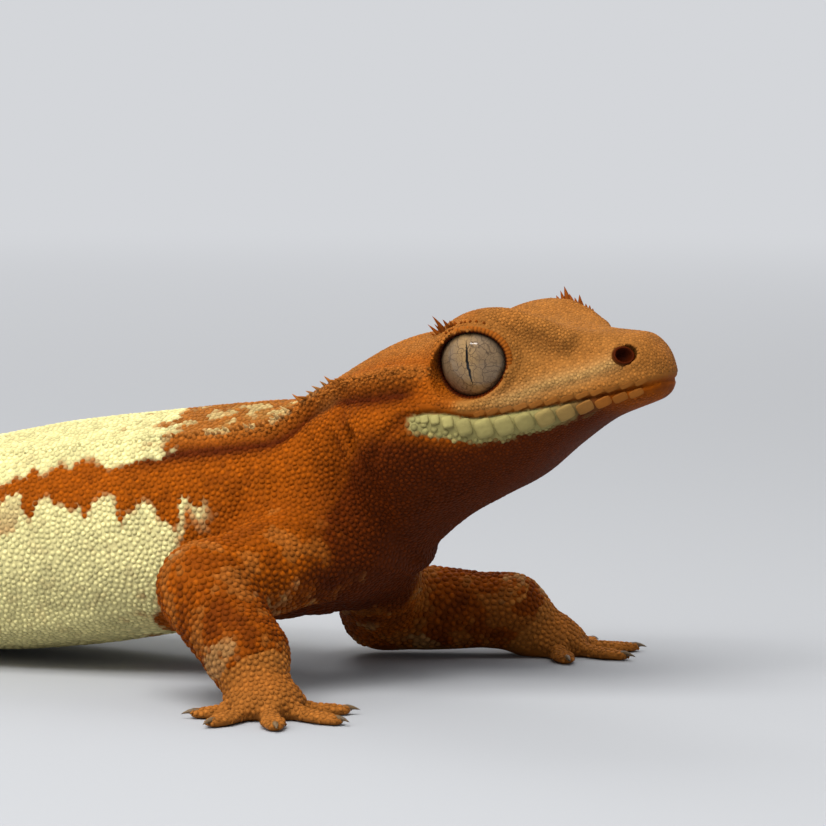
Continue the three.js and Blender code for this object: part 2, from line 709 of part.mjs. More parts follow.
const stretch = (from, to, count, sides) =>
  solid(bodyStretch(from + GAP / 2, to - GAP / 2, count, sides));
const neckSolid = joined([
  stretch(CUTS.neck, CUTS.torso, 7, BODY_SIDES),
  ...crestSpines(CUTS.neck + 0.5, CUTS.torso - 0.5, 1.1, () => 0.8),
]);
const torsoSolid = joined([
  stretch(CUTS.torso, CUTS.tail, 22, BODY_SIDES),
  ...crestSpines(CUTS.torso + 0.6, 84, 1.75, (at) => THREE.MathUtils.lerp(0.65, 0.4, (at - 36) / 48)),
]);
const bodyGrown = joined([
  solid(headLoft(GAP)),
  solid(bodyStretch(CUTS.neck - 1, CUTS.tail + 20, 50, BODY_SIDES, GAP)),
]);

const SKIN = { rust: 0xa8561a, cream: 0xe9dfa6, lip: 0xcfc79a, eye: 0x8a7a62 };
const FINISH = {
  skin: { roughness: 0.6, metalness: 0 },
  eye: { roughness: 0.05, metalness: 0 },
};
const group = new THREE.Group();

function addNode(name, manifold, color, finish = FINISH.skin) {
  const mesh = new THREE.Mesh(
    geometryOf(manifold),
    new THREE.MeshStandardMaterial({ color, ...finish }),
  );
  mesh.name = name;
  group.add(mesh);
  return mesh;
}

addNode("head", largest(headSolid), SKIN.rust);
addNode("jaw", largest(jawSolid), SKIN.lip);
for (const [name, side] of [["eye_left", 1], ["eye_right", -1]]) {
  const eye = new THREE.Mesh(
    eyeGeometry,
    new THREE.MeshStandardMaterial({ color: SKIN.eye, ...FINISH.eye }),
  );
  eye.name = name;
  eye.position.copy(eyeCentre(side));
  group.add(eye);
}
addNode("neck", largest(neckSolid), SKIN.rust);
addNode("torso", largest(torsoSolid), SKIN.cream);
const TAIL_PARTS = [
  ["tail_base", CUTS.tail, CUTS.tailMiddle, 9],
  ["tail_middle", CUTS.tailMiddle, CUTS.tailEnd, 10],
  ["tail_end", CUTS.tailEnd, BODY_LENGTH - 0.02 + GAP / 2, 14],
];
for (const [name, from, to, count] of TAIL_PARTS) {
  addNode(name, largest(aboveFloor(stretch(from, to, count, TAIL_SIDES))), SKIN.rust);
}
for (const spec of LIMBS) {
  limbSolids(spec, bodyGrown).forEach((made, i) => addNode(spec.names[i], made, SKIN.rust));
}

// The origin goes under the middle of the model
const box = new THREE.Box3().setFromObject(group);
const middle = box.getCenter(vec(0, 0, 0));
group.position.set(-middle.x, -middle.y, -box.min.z);

export default group;
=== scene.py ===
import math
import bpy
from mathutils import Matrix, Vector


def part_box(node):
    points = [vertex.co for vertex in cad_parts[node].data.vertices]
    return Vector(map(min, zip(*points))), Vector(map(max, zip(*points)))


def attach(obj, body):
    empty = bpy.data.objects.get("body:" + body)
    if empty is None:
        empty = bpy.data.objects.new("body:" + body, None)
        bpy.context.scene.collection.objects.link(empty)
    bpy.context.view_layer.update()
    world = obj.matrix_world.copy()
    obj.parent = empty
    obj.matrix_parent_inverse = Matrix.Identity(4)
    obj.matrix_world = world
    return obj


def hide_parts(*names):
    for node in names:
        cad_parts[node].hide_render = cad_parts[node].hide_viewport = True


bl_info = {
    "name": "Crested Gecko Model",
    "version": (1, 0, 0),
    "blender": (4, 5, 0),
    "location": "View3D > Sidebar > Gecko",
    "description": "Dresses the parted solids of a crested gecko with skin, scales, spines and eyes",
    "category": "Add Mesh",
}

from functools import partial

import bpy
import numpy as np
from bpy.props import FloatProperty, FloatVectorProperty, PointerProperty
from mathutils import Matrix, Vector, kdtree

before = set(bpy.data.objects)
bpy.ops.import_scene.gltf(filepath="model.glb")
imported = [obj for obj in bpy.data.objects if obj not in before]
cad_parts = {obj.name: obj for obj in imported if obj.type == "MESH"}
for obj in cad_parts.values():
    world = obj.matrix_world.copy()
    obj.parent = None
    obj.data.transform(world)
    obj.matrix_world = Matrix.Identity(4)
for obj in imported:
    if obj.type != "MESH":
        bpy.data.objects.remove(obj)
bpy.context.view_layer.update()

# Sizes are in millimetres, in the model's own frame: the head's origin lies midway between the eye
# centres, EYE_HEIGHT over the floor. Finished meshes are shifted onto the frame and made metres.
MM = 0.001

EYE_HEIGHT = 28.5
EYE_STATION = 14.5
EYE_SIDE = 5.1
HEAD_PITCH = 15.0
HEAD_YAW = 3.0
HEAD_LENGTH = 26.0
AXIS_DROP = 4.2
NOSE_ROUND = 2.0
TIP_ROUND = 1.5

# Head stations: distance from the snout tip, half width, height over and depth under the axis
HEAD_ROWS = (
    (0, 2.7, 2.7, 2.2),
    (2.5, 3.7, 3.7, 2.65),
    (6.5, 5.2, 5.15, 3.25),
    (10.5, 7.0, 6.95, 4.7),
    (14.5, 8.5, 7.6, 6.5),
    (18.5, 9.9, 7.9, 7.4),
    (22.5, 10.7, 7.8, 8.4),
    (26.5, 9.8, 6.8, 10.1),
)
HEAD_END_PITCH = 18.0

# Body stations: centre x, y, z, pitch, half width, height, depth
BODY_ROWS = (
    (-12.2, -0.65, 19.3, 27, 8.7, 7.6, 9.8),
    (-14.0, -0.7, 16.9, 34, 8.5, 9.0, 9.0),
    (-19.0, -0.9, 15.0, 24, 9.6, 9.7, 9.7),
    (-27.0, -1.2, 13.7, 13, 10.6, 9.7, 9.6),
    (-41.0, -1.6, 11.5, 7, 12.5, 10.0, 10.0),
    (-52.0, -1.4, 9.9, 4, 13.3, 9.5, 9.4),
    (-64.0, -0.4, 9.0, 3, 12.8, 8.6, 8.5),
    (-75.0, 1.0, 8.3, 3, 11.0, 7.6, 7.5),
    (-85.0, 2.2, 7.6, 4, 8.7, 6.5, 6.4),
    (-92.0, 2.6, 6.6, 8, 6.3, 5.0, 4.9),
    (-98.0, 2.6, 5.5, 9, 4.9, 4.1, 4.2),
    (-106.0, 2.0, 4.1, 7, 4.3, 3.7, 3.7),
    (-118.0, -1.2, 3.0, 2, 3.7, 3.2, 3.1),
    (-130.0, -5.4, 2.6, 1, 3.1, 2.8, 2.7),
    (-142.0, -8.6, 2.2, 1, 2.6, 2.4, 2.3),
    (-154.0, -8.4, 1.9, 1, 2.1, 1.9, 2.0),
    (-164.5, -3.6, 1.4, 1, 1.7, 1.4, 1.5),
    (-172.0, 4.6, 0.95, 0, 1.5, 0.9, 1.05),
    (-175.3, 11.0, 0.75, 0, 2.0, 0.6, 0.85),
    (-175.6, 15.6, 0.7, 0, 1.5, 0.5, 0.8),
)
# The row of the body where the tail begins, counted with the head's
TAIL_ROW = 17
BOXINESS = {"head": (2.5, 2.15), "body": (2.15, 2.5)}
# The crest's angle over the widest level, by station
CREST_ANGLE = (
    (18, 27), (24, 30), (26, 34), (28.5, 47), (31, 55), (35, 50),
    (43, 47), (52, 44), (66, 43), (84, 46), (100, 52),
)

# Swellings: station, reach along, angle over the widest level, reach across, rise
SWELLINGS = (
    (11.9, 4.3, 53, 11, 1.9),
    (13.0, 5.0, 90, 20, -0.7),
    (2.6, 1.5, 28, 20, 0.35),
    (8.2, 2.8, 30, 12, -0.5),
    (6.2, 3.6, 90, 15, -0.3),
    (22.2, 4.2, -4, 17, 0.6),
    (29.0, 2.2, -8, 24, -0.6),
    (72.0, 24.0, -38, 6, 0.4),
)
CREST_RIDGE = {"from": 17.5, "to": 96, "fade": 3, "across": 5, "rise": 0.6, "body_rise": 0.3}
CREST_GROOVE = {"below": 11, "across": 5.5, "rise": -0.65}

# The mouth line and folds in the head's frame: forward of the eyes, over the eyes
MOUTH_LINE = (
    (-5.6, -3.25), (-4, -3.3), (-2.2, -3.9), (-0.8, -4.55),
    (2.4, -4.9), (7.4, -5.2), (12.5, -5.3), (16, -5.2),
)
HEAD_FOLDS = (
    {"line": ((-5.5, -3.2), (-7.0, -3.9), (-8.4, -5.0), (-9.4, -6.2)), "depth": 0.5, "width": 0.4},
    {"line": ((-12.0, 0.2), (-12.3, -2.2), (-11.9, -4.6), (-11.3, -6.8)), "depth": 0.85, "width": 0.75},
    {"line": ((-10.9, -7.4), (-11.2, -10.2), (-12.8, -12.6), (-14.6, -15.0)), "depth": 0.7, "width": 0.8},
    {"line": ((-13.6, -3.0), (-13.6, -6.5), (-14.4, -10.0)), "depth": 0.35, "width": 0.6},
)
# The pale ridge over the upper lip, from under the eye to the nostril
LIP_RIDGE = ((-1.2, -3.4), (2.4, -3.8), (5.5, -3.3), (8.6, -3.2), (10.8, -2.9))
LIP_RIDGE_FLAT = np.array([(forward, 0, up) for forward, up in LIP_RIDGE])
BROW_LINE = np.array((
    (-4.4, 6.3, 0.5), (-2.6, 6.7, 1.9), (0, 6.8, 2.75), (2.2, 6.5, 3.0),
    (4.2, 5.8, 2.7), (6.0, 5.0, 1.6), (7.2, 4.4, 0.3),
))
# The head leans a little to its right: how much higher the left brow lies, and lower the right
BROW_LEAN = 0.2
BROW_THICKNESS = 0.55
BROW_BLEND = 1.9
# The pits of nose and ear: their places, and the radii of what is cut away and kept bare
NOSTRIL = {"forward": 12.0, "up": -2.4, "cut": (0.85, 1.3, 0.74), "bare": (0.6, 0.9, 0.52)}
EAR = {"forward": -11.4, "up": -4.1, "cut": (0.5, 1.0, 0.95), "bare": (0.75, 1.2, 1.15)}
# The lids: a shell round the eye with a long round opening, by its halves and its middle across the gaze
LID_RADIUS = 3.97
LID_BLEND = 1.9
LID_FOLD = {"margin": 1.0, "width": 0.3, "depth": 0.13}
OPENING = {"half": np.array((3.2, 2.74)), "middle": np.array((-0.2, 0.2)), "from": 1.0}
# The way each eye looks, in the head's frame: forward, outward, up
GAZE = (0.02, 0.985, -0.15)
LID_RIM = {"margin": 0.2, "radius": 3.84, "thick": 0.28, "beads": 62, "around": 248, "sides": 12}
SOCKET_CLEARANCE = 0.1
# Heights of the lower lip's scutes, by place forward of the eyes
LIP_HEIGHTS = (
    (-4.6, 0.7), (-3.4, 0.85), (-2.2, 1.15), (-1.0, 1.65), (2.4, 1.75), (5.5, 1.5), (8.4, 1.0), (12, 0.7),
)
LIP_START = -4.6
# Where the cream of back and flank starts, and the angles of its edges along the rust band
BACK_START, BACK_EDGE = 45.5, 29
FLANK_START, FLANK_EDGE = 42, 21
# The station behind which no fold of the head marks the skin
HEAD_END = 34
# Depth of the pale band under the mouth, by place forward of the eyes
LIP_BAND = ((-5.5, 1.5), (-3.5, 2.6), (-1, 2.3), (3, 2.2), (6, 1.7), (10, 0.9))
# How far the bare skin lies under the scaled surface
COAT_DEPTH = 0.12

# Limbs: shoulder, elbow, wrist and palm centres, or hip, knee, ankle and sole
ARM_RADII = (((0, 3.7), (0.45, 4.1), (1, 3.7)), ((0, 3.7), (0.35, 3.85), (1, 3.2)))
LEG_RADII = (((0, 4.6), (0.4, 4.9), (1, 3.4)), ((0, 3.6), (0.35, 3.7), (1, 2.8)))
HAND_PALM = (3.5, 3.4, 1.9)
FOOT_PALM = (3.9, 3.4, 1.9)
HAND_TOES = ((-100, 3.6), (-55, 5.0), (-12, 5.8), (32, 5.6), (78, 4.6))
FOOT_TOES = ((-92, 4.0), (-48, 5.8), (-14, 7.0), (18, 7.6), (66, 6.2))
LIMBS = (
    {
        "side": -1, "radii": ARM_RADII, "palm": HAND_PALM, "toes": HAND_TOES, "heading": -42,
        "joints": ((-13.6, -6.4, 12.0), (-19.4, -17.9, 9.5), (-13.0, -21.7, 4.6)),
        "palm_at": (-10.6, -23.2, 1.25),
    },
    {
        "side": 1, "radii": ARM_RADII, "palm": HAND_PALM, "toes": HAND_TOES, "heading": 28,
        "joints": ((-15.5, 4.0, 10.2), (-19.4, 13.8, 4.3), (-9.2, 18.8, 3.9)),
        "palm_at": (-6.3, 20.7, 1.25),
    },
    {
        "side": -1, "radii": LEG_RADII, "palm": FOOT_PALM, "toes": FOOT_TOES, "heading": -52,
        "joints": ((-84.5, -2.6, 8.6), (-72.5, -18.0, 9.4), (-84.5, -25.6, 4.4)),
        "palm_at": (-85.0, -28.4, 1.3),
    },
    {
        "side": 1, "radii": LEG_RADII, "palm": FOOT_PALM, "toes": FOOT_TOES, "heading": 62,
        "joints": ((-84.5, 6.8, 8.6), (-79.0, 24.0, 9.0), (-92.5, 28.4, 4.4)),
        "palm_at": (-94.0, 31.0, 1.3),
    },
)
ANKLE_HEIGHT = 1.9
ANKLE_RADIUS = 2.1
TOE_START = 1.2
TOE_EXTRA = 0.6
# Toe sections: share of length, half width, centre height, half height
TOE_SHAPE = (
    (0, 0.95, 0.75, 0.9), (0.4, 0.8, 0.62, 0.72), (0.6, 1.1, 0.5, 0.62),
    (0.82, 1.3, 0.45, 0.58), (1, 0.95, 0.4, 0.5),
)
BODY_BLEND = 3.0
LIMB_BLEND = 1.4
TOE_BLEND = 0.7
# Spines of the lids by row: how many, first and last turn, distance from the opening, share of length
LASH_ROWS = ((21, 60, 205, 0.6, 1.0), (44, 8, 230, 0.4, 0.24))
LONGEST_LASH_TURN = 129
# Spines of the crest: first and last station, where the second row ends, size and gap by station
CREST_SPINES = {
    "from": 17.4, "to": 92, "two_rows_to": 40, "second_row": {"behind": 0.25, "lower": 3.4, "size": 0.65},
    "size": ((17.4, 0.3), (21, 0.42), (26, 0.5), (29, 1.0), (34, 0.7), (50, 0.42), (92, 0.26)),
    "gap": ((17, 0.5), (40, 0.62), (92, 0.85)),
}
BROW_SPINES = 34
# Shortest spine that is kept
SHORTEST_SPINE = 0.1
# Spacing at the corner of the mouth and on the thin tail
COARSE_GRANULE = 0.62
# Corners of a granule's outline
SIDES = 7
# Rings of a granule: share of its reach, rise as a share of its height
GRANULE_RINGS = ((0.97, -0.25), (0.7, 0.68))
# Rings of a spine: place along it, share of its radius
SPINE_RINGS = ((-0.25, 1.0), (0.12, 0.95), (0.5, 0.6), (0.8, 0.28))
# Rings of a lip scute: share of its reach, rise as a share of its depth
SCUTE_RINGS = ((1.0, -0.6), (0.98, 0.25), (0.86, 0.75), (0.55, 0.97))
# Corners of a spine and of a lip scute
SPINE_SIDES, SCUTE_SIDES = 6, 16
# Reach of each scale's own patch on the UV map
UV_PATCH = 0.0013

FLESH_NODES = [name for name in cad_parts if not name.startswith("eye_")]
BUILT = {}


def smooth_step(x):
    x = np.clip(x, 0, 1)
    return x * x * (3 - 2 * x)


def ramp(x, start, span):
    """0 at the start and 1 a span further on; a span below zero falls the other way."""
    return smooth_step((x - start) / span)


def bell(x, width):
    return np.exp(-((x / width) ** 2))


def unit(v):
    return v / np.maximum(np.linalg.norm(v, axis=-1, keepdims=True), 1e-12)


def mix(a, b, share):
    return a + (b - a) * share


def turns(sides):
    return np.arange(sides) * 2 * math.pi / sides


def mirror(points):
    """The points brought over to the left side."""
    return points * (1, 0, 1) + np.abs(points[:, 1])[:, None] * (0, 1, 0)


def between(place, pairs):
    """The value at a place on the straight stretches through (place, value) pairs."""
    return np.interp(place, *zip(*pairs))


def profile(pairs):
    """A smooth curve through (place, value) pairs: cubic Hermite with finite-difference slopes."""
    xs, ys = np.array(pairs, float).T
    n = len(xs)
    before, after = np.maximum(np.arange(n) - 1, 0), np.minimum(np.arange(n) + 1, n - 1)
    slope = (ys[after] - ys[before]) / (xs[after] - xs[before])

    def value(place):
        i = np.clip(np.searchsorted(xs, place, side="right") - 1, 0, n - 2)
        span = xs[i + 1] - xs[i]
        t = np.clip((place - xs[i]) / span, 0, 1)
        rise = ys[i] * (2 * t**3 - 3 * t**2 + 1) + ys[i + 1] * (3 * t**2 - 2 * t**3)
        return rise + slope[i] * span * (t**3 - 2 * t**2 + t) + slope[i + 1] * span * (t**3 - t**2)

    return value


def head_basis():
    pitch, yaw = math.radians(HEAD_PITCH), math.radians(HEAD_YAW)
    forward = np.array([math.cos(pitch) * math.cos(yaw), math.cos(pitch) * math.sin(yaw), math.sin(pitch)])
    left = np.array([-math.sin(yaw), math.cos(yaw), 0])
    return np.array([forward, left, np.cross(forward, left)])


HEAD_BASIS = head_basis()
HEAD_ORIGIN = np.array([0, 0, EYE_HEIGHT])


def from_head(local):
    return np.asarray(local, float) @ HEAD_BASIS + HEAD_ORIGIN


def to_head(points):
    return (points - HEAD_ORIGIN) @ HEAD_BASIS.T


CREST_AT = profile(CREST_ANGLE)
MOUTH_AT = profile(MOUTH_LINE)


class BodyAxis:
    """The line of the body from snout tip to tail tip, with the section's frame and sizes along it."""

    STEP = 0.2
    COARSE = 15

    def __init__(self):
        rows = []
        for at, *sizes in HEAD_ROWS:
            pitch = HEAD_END_PITCH if at > HEAD_LENGTH else HEAD_PITCH
            rows.append((*from_head((EYE_STATION - at, 0, -AXIS_DROP)), pitch, *sizes))
        rows = np.array([*rows, *BODY_ROWS], float)
        steps = np.linalg.norm(np.diff(rows[:, :3], axis=0), axis=1)
        self.stations = np.concatenate([[0], np.cumsum(steps)])
        self.length = self.stations[-1]
        curves = [profile(list(zip(self.stations, rows[:, c]))) for c in range(7)]
        at = np.arange(0, self.length + self.STEP, self.STEP)
        ahead, behind = at - 0.5, at + 0.5
        yaw = np.arctan2(curves[1](ahead) - curves[1](behind), curves[0](ahead) - curves[0](behind))
        yaw = np.where(at < HEAD_LENGTH, math.radians(HEAD_YAW), yaw)
        pitch = np.radians(curves[3](at))
        forward = np.stack([np.cos(pitch) * np.cos(yaw), np.cos(pitch) * np.sin(yaw), np.sin(pitch)], 1)
        left = np.stack([-np.sin(yaw), np.cos(yaw), 0 * yaw], 1)
        centre = np.stack([curves[c](at) for c in range(3)], 1)
        sizes = np.stack([curves[c](at) for c in (4, 5, 6)], 1)
        crest = CREST_AT(at)[:, None]
        self.table = np.hstack([centre, forward, left, np.cross(forward, left), sizes, crest])

    def at(self, stations):
        place = np.clip(stations / self.STEP, 0, len(self.table) - 1.001)
        i = place.astype(int)
        share = (place - i)[:, None]
        return self.table[i] * (1 - share) + self.table[i + 1] * share

    def locate(self, points):
        """The station of each point, its section's row, and its place ahead, left and up in it."""
        coarse = self.table[:: self.COARSE, :3]
        square = (coarse**2).sum(1)
        station = np.argmin(square - 2 * points @ coarse.T, axis=1) * self.COARSE * self.STEP
        for _ in range(6):
            row = self.at(station)
            ahead = ((points - row[:, :3]) * row[:, 3:6]).sum(1)
            station = np.clip(station - 0.85 * ahead, 0, self.length)
        row = self.at(station)
        away = points - row[:, :3]
        return station, row, *(np.einsum("ij,ij->i", away, row[:, c : c + 3]) for c in (3, 6, 9))


AXIS = BodyAxis()


def section_radius(at, row, angle):
    """How far the surface stands from the section's centre, the snout's and tail's ends not rounded."""
    above = angle > 0
    blend = ramp(at, 24, 12)
    power = np.where(
        above,
        mix(BOXINESS["head"][0], BOXINESS["body"][0], blend),
        mix(BOXINESS["head"][1], BOXINESS["body"][1], blend),
    )
    across = np.abs(np.cos(np.radians(angle))) / row[:, 12]
    height = np.abs(np.sin(np.radians(angle))) / np.where(above, row[:, 13], row[:, 14])
    radius = (across**power + height**power) ** (-1 / power)
    for place, reach, turn, spread, rise in SWELLINGS:
        radius = radius + rise * bell(at - place, reach) * bell(angle - turn, spread)
    start, end, fade = CREST_RIDGE["from"], CREST_RIDGE["to"], CREST_RIDGE["fade"]
    on_crest = ramp(at, start, fade) * ramp(at, end, -fade)
    from_crest = angle - row[:, 15]
    on_head = 1 - ramp(at, 30, 8)
    rise = mix(CREST_RIDGE["body_rise"], CREST_RIDGE["rise"], on_head)
    groove = CREST_GROOVE["rise"] * on_head * bell(from_crest + CREST_GROOVE["below"], CREST_GROOVE["across"])
    return radius + on_crest * (rise * bell(from_crest, CREST_RIDGE["across"]) + groove)


def surface_point(at, angle, side):
    """A point of the body's plain surface; side is 1 on the left and -1 on the right."""
    at, angle, side = (np.atleast_1d(np.asarray(v, float)) for v in np.broadcast_arrays(at, angle, side))
    row = AXIS.at(at)
    radius = section_radius(at, row, angle)
    turn = np.radians(angle)
    across, rise = side * radius * np.cos(turn), radius * np.sin(turn)
    return row[:, :3] + across[:, None] * row[:, 6:9] + rise[:, None] * row[:, 9:12]


def on_head(forward, up):
    """Station and angle of the head's surface at a place given in the head's frame."""
    at = np.atleast_1d(EYE_STATION - np.asarray(forward, float))
    height = np.atleast_1d(np.asarray(up, float)) + AXIS_DROP
    row = AXIS.at(at)
    angle = np.degrees(np.arctan2(height, row[:, 12]))
    for _ in range(8):
        reach = section_radius(at, row, angle) * np.cos(np.radians(angle))
        angle = np.degrees(np.arctan2(height, reach))
    return at, angle


def smooth_union(a, b, reach):
    h = np.maximum(reach - np.abs(a - b), 0) / reach
    return np.minimum(a, b) - h * h * reach / 4


def bone(points, start, end, radii):
    """Distance to a round-ended bone whose radius follows a profile, and the share down it."""
    start, end = np.asarray(start, float), np.asarray(end, float)
    line = end - start
    share = np.clip((points - start) @ line / (line @ line), 0, 1)
    away = points - start - share[:, None] * line
    return np.linalg.norm(away, axis=1) - profile(radii)(share), share


def toe_frames(limb):
    """Each toe's start, its heading in the floor plane and its reach."""
    for turn, length in limb["toes"]:
        yaw = math.radians(limb["heading"] - turn * limb["side"])
        out = np.array([math.cos(yaw), math.sin(yaw), 0])
        yield np.array(limb["palm_at"]) * (1, 1, 0) + out * TOE_START, out, length + TOE_EXTRA


def toe_field(points, start, out, reach):
    away = points - start
    share = away @ out / reach
    inside = np.clip(share, 0, 1)
    places, *sizes = zip(*TOE_SHAPE)
    half, high, tall = (np.interp(inside, places, size) for size in sizes)
    across = (away @ np.array([-out[1], out[0], 0])) / half
    level = (points[:, 2] - high) / tall
    beyond = (share - inside) * reach / half
    return (np.sqrt(across**2 + level**2 + beyond**2) - 1) * np.minimum(half, tall)


def foot_field(points, limb):
    yaw = math.radians(limb["heading"])
    turn = np.array([[math.cos(yaw), math.sin(yaw), 0], [-math.sin(yaw), math.cos(yaw), 0], [0, 0, 1]])
    away = (points - np.array(limb["palm_at"])) @ turn.T
    palm = np.array(limb["palm"])
    near, far = np.linalg.norm(away / palm, axis=1), np.linalg.norm(away / palm**2, axis=1)
    field = near * (near - 1) / np.maximum(far, 1e-6)
    ankle = np.array(limb["palm_at"]) * (1, 1, 0) + (0, 0, ANKLE_HEIGHT)
    wrist_radius = limb["radii"][1][-1][1]
    link, _ = bone(points, limb["joints"][2], ankle, ((0, wrist_radius), (1, ANKLE_RADIUS)))
    field = smooth_union(field, link, LIMB_BLEND)
    for start, out, reach in toe_frames(limb):
        field = smooth_union(field, toe_field(points, start, out, reach), TOE_BLEND)
    return field


def eye_centre(side):
    return from_head((0, side * EYE_SIDE, 0))


def gaze(side):
    return unit(np.array(GAZE) * (1, side, 1)) @ HEAD_BASIS


def line_distance(points, line):
    """Distance to a chain of straight stretches."""
    nearest = np.full(len(points), 99.0)
    for a, b in zip(line[:-1], line[1:]):
        share = np.clip((points - a) @ (b - a) / ((b - a) @ (b - a)), 0, 1)
        nearest = np.minimum(nearest, np.linalg.norm(points - a - share[:, None] * (b - a), axis=1))
    return nearest


def head_places(places, side):
    """Points of the head's plain surface, given as places forward and up in the head's frame."""
    at, angle = on_head([p[0] for p in places], [p[1] for p in places])
    return surface_point(at, angle, side)


def pit_reach(pit, radii, head):
    """Distance from the middle of the nose's or the ear's pit, 1 at the edge that the radii give."""
    centre = to_head(head_places([(pit["forward"], pit["up"])], 1))[0]
    return np.linalg.norm((mirror(head) - centre) / radii, axis=1)


def eye_axes():
    """Across the left eye's gaze and along it, in the head's frame: forward, up, outward."""
    look = unit(np.array(GAZE))
    forward = unit(np.array((1, 0, 0)) - look[0] * look)
    return np.array([forward, np.cross(forward, look), look])


EYE_AXES = eye_axes()


def opening_reach(mirrored):
    """How far outside the lids' opening points lie across the gaze, and how far out along it."""
    away = (mirrored - (0, EYE_SIDE, 0)) @ EYE_AXES.T
    share = np.linalg.norm((away[:, :2] - OPENING["middle"]) / OPENING["half"], axis=1)
    return (share - 1) * OPENING["half"].min(), away[:, 2]


def lid_edge(turn, margin, radius):
    """Points along the lids' opening, left eye, in the head's frame; turn is 0 ahead and 90 degrees up."""
    ring = np.stack([np.cos(turn), np.sin(turn)], -1)
    flat = ring * (OPENING["half"] + margin) + OPENING["middle"]
    out = np.sqrt(np.maximum(radius**2 - (flat**2).sum(-1), 0.05))
    return np.concatenate([flat, out[..., None]], -1) @ EYE_AXES + (0, EYE_SIDE, 0), ring @ EYE_AXES[:2]


def head_details(points, field):
    """Eye rims and sockets, brows, mouth, nostrils, ears and folds of the head."""
    local = to_head(points)
    mirrored = mirror(local)
    eye_radius = bpy.context.scene.gecko_body.eye_radius / MM
    from_eye = np.linalg.norm(mirrored - (0, EYE_SIDE, 0), axis=1)
    lean = np.clip(local[:, 1], -1, 1)[:, None] * (0, 0, BROW_LEAN)
    brow = line_distance(mirrored - lean, BROW_LINE) - BROW_THICKNESS
    field = smooth_union(field, brow, BROW_BLEND)
    field = smooth_union(field, from_eye - LID_RADIUS, LID_BLEND)
    beyond, out = opening_reach(mirrored)
    fold = bell(beyond - LID_FOLD["margin"], LID_FOLD["width"]) * bell(from_eye - LID_RADIUS, 0.8)
    field = field + LID_FOLD["depth"] * fold * smooth_step(out / 0.8)
    field = np.maximum(field, np.minimum(-beyond, out - OPENING["from"]))
    field = np.maximum(field, eye_radius - SOCKET_CLEARANCE - from_eye)
    over_mouth = mirrored[:, 2] - MOUTH_AT(mirrored[:, 0])
    on_mouth = ramp(mirrored[:, 0], -5.8, 1.0)
    at_tip = ramp(mirrored[:, 0], 15.2, -3)
    lips = 0.14 * bell(over_mouth - 0.7, 0.45) + 0.16 * bell(over_mouth + 0.8, 0.6)
    field = field + on_mouth * (mix(0.22, 0.4, at_tip) * bell(over_mouth, 0.17) - at_tip * lips)
    for pit in (NOSTRIL, EAR):
        field = np.maximum(field, (1 - pit_reach(pit, pit["cut"], local)) * min(pit["cut"]))
    lip_edge = line_distance(mirrored, to_head(head_places(LIP_RIDGE, 1)))
    field = field - 0.16 * bell(lip_edge, 0.5)
    for fold in HEAD_FOLDS:
        line = to_head(head_places(fold["line"], 1))
        field = field + fold["depth"] * bell(line_distance(mirrored, line), fold["width"])
    return field


def body_relief(station, angle):
    """Loose skin: wrinkles of the neck and the flanks, as a rise in millimetres."""
    neck = ramp(station, 26, 3) * ramp(station, 44, -6) * ramp(angle, 35, -25)
    flank = ramp(station, 40, 8) * ramp(station, 115, -10) * bell(angle + 15, 40)
    ripple = np.sin(station * 1.9 + 0.05 * angle + 1.2 * np.sin(angle * 0.06))
    swell = np.sin(station * 0.55 + 0.09 * angle) * np.sin(station * 0.21 - 0.05 * angle + 1)
    return 0.13 * neck * ripple + 0.16 * flank * swell


def body_field(points):
    station, row, ahead, left, up = AXIS.locate(points)
    radius = np.hypot(left, up)
    angle = np.degrees(np.arctan2(up, np.abs(left)))
    reach = section_radius(station, row, angle) + body_relief(station, angle)
    beyond_nose = np.maximum(NOSE_ROUND - station + np.maximum(ahead, 0), 0) / NOSE_ROUND
    beyond_tip = np.maximum(TIP_ROUND - AXIS.length + station + np.maximum(-ahead, 0), 0) / TIP_ROUND
    return reach * (np.sqrt((radius / reach) ** 2 + beyond_nose**2 + beyond_tip**2) - 1)


def limb_bones(points, limb):
    """Distances and shares for the limb's upper and lower length."""
    joints = limb["joints"]
    return [bone(points, joints[i], joints[i + 1], limb["radii"][i]) for i in (0, 1)]


def near_limb(points, limb):
    spots = np.array([*limb["joints"], limb["palm_at"]])
    low, high = spots.min(0) - 9.5, spots.max(0) + 9.5
    return np.all((points > low) & (points < high), axis=1)


def skin_field(points):
    """Signed distance to the skin, near enough: below zero inside the animal."""
    field = body_field(points)
    ahead = points[:, 0] > -22
    if ahead.any():
        field[ahead] = head_details(points[ahead], field[ahead])
    for limb in LIMBS:
        near = near_limb(points, limb)
        if not near.any():
            continue
        here = points[near]
        (upper, _), (lower, _) = limb_bones(here, limb)
        lower = smooth_union(lower, foot_field(here, limb), LIMB_BLEND)
        whole = smooth_union(field[near], upper, BODY_BLEND)
        field[near] = smooth_union(whole, lower, LIMB_BLEND)
    return np.maximum(field + COAT_DEPTH, -points[:, 2])


def in_chunks(function, points, size=150000):
    return np.concatenate([function(points[i : i + size]) for i in range(0, len(points), size)])


def gradient(points, step=0.04):
    slopes = []
    for shift in np.eye(3) * step:
        rise = in_chunks(skin_field, points + shift) - in_chunks(skin_field, points - shift)
        slopes.append(rise / (2 * step))
    return np.stack(slopes, 1)


def onto_skin(points, rounds=2, furthest=0.3):
    """Moves points along the field's slope onto the skin; also gives the outward normals there."""
    for _ in range(rounds):
        slope = gradient(points)
        value = in_chunks(skin_field, points)
        move = value[:, None] * slope / np.maximum((slope**2).sum(1, keepdims=True), 0.05)
        far = np.linalg.norm(move, axis=1, keepdims=True)
        points = points - move * np.minimum(1, furthest / np.maximum(far, 1e-9))
    return points, unit(gradient(points))


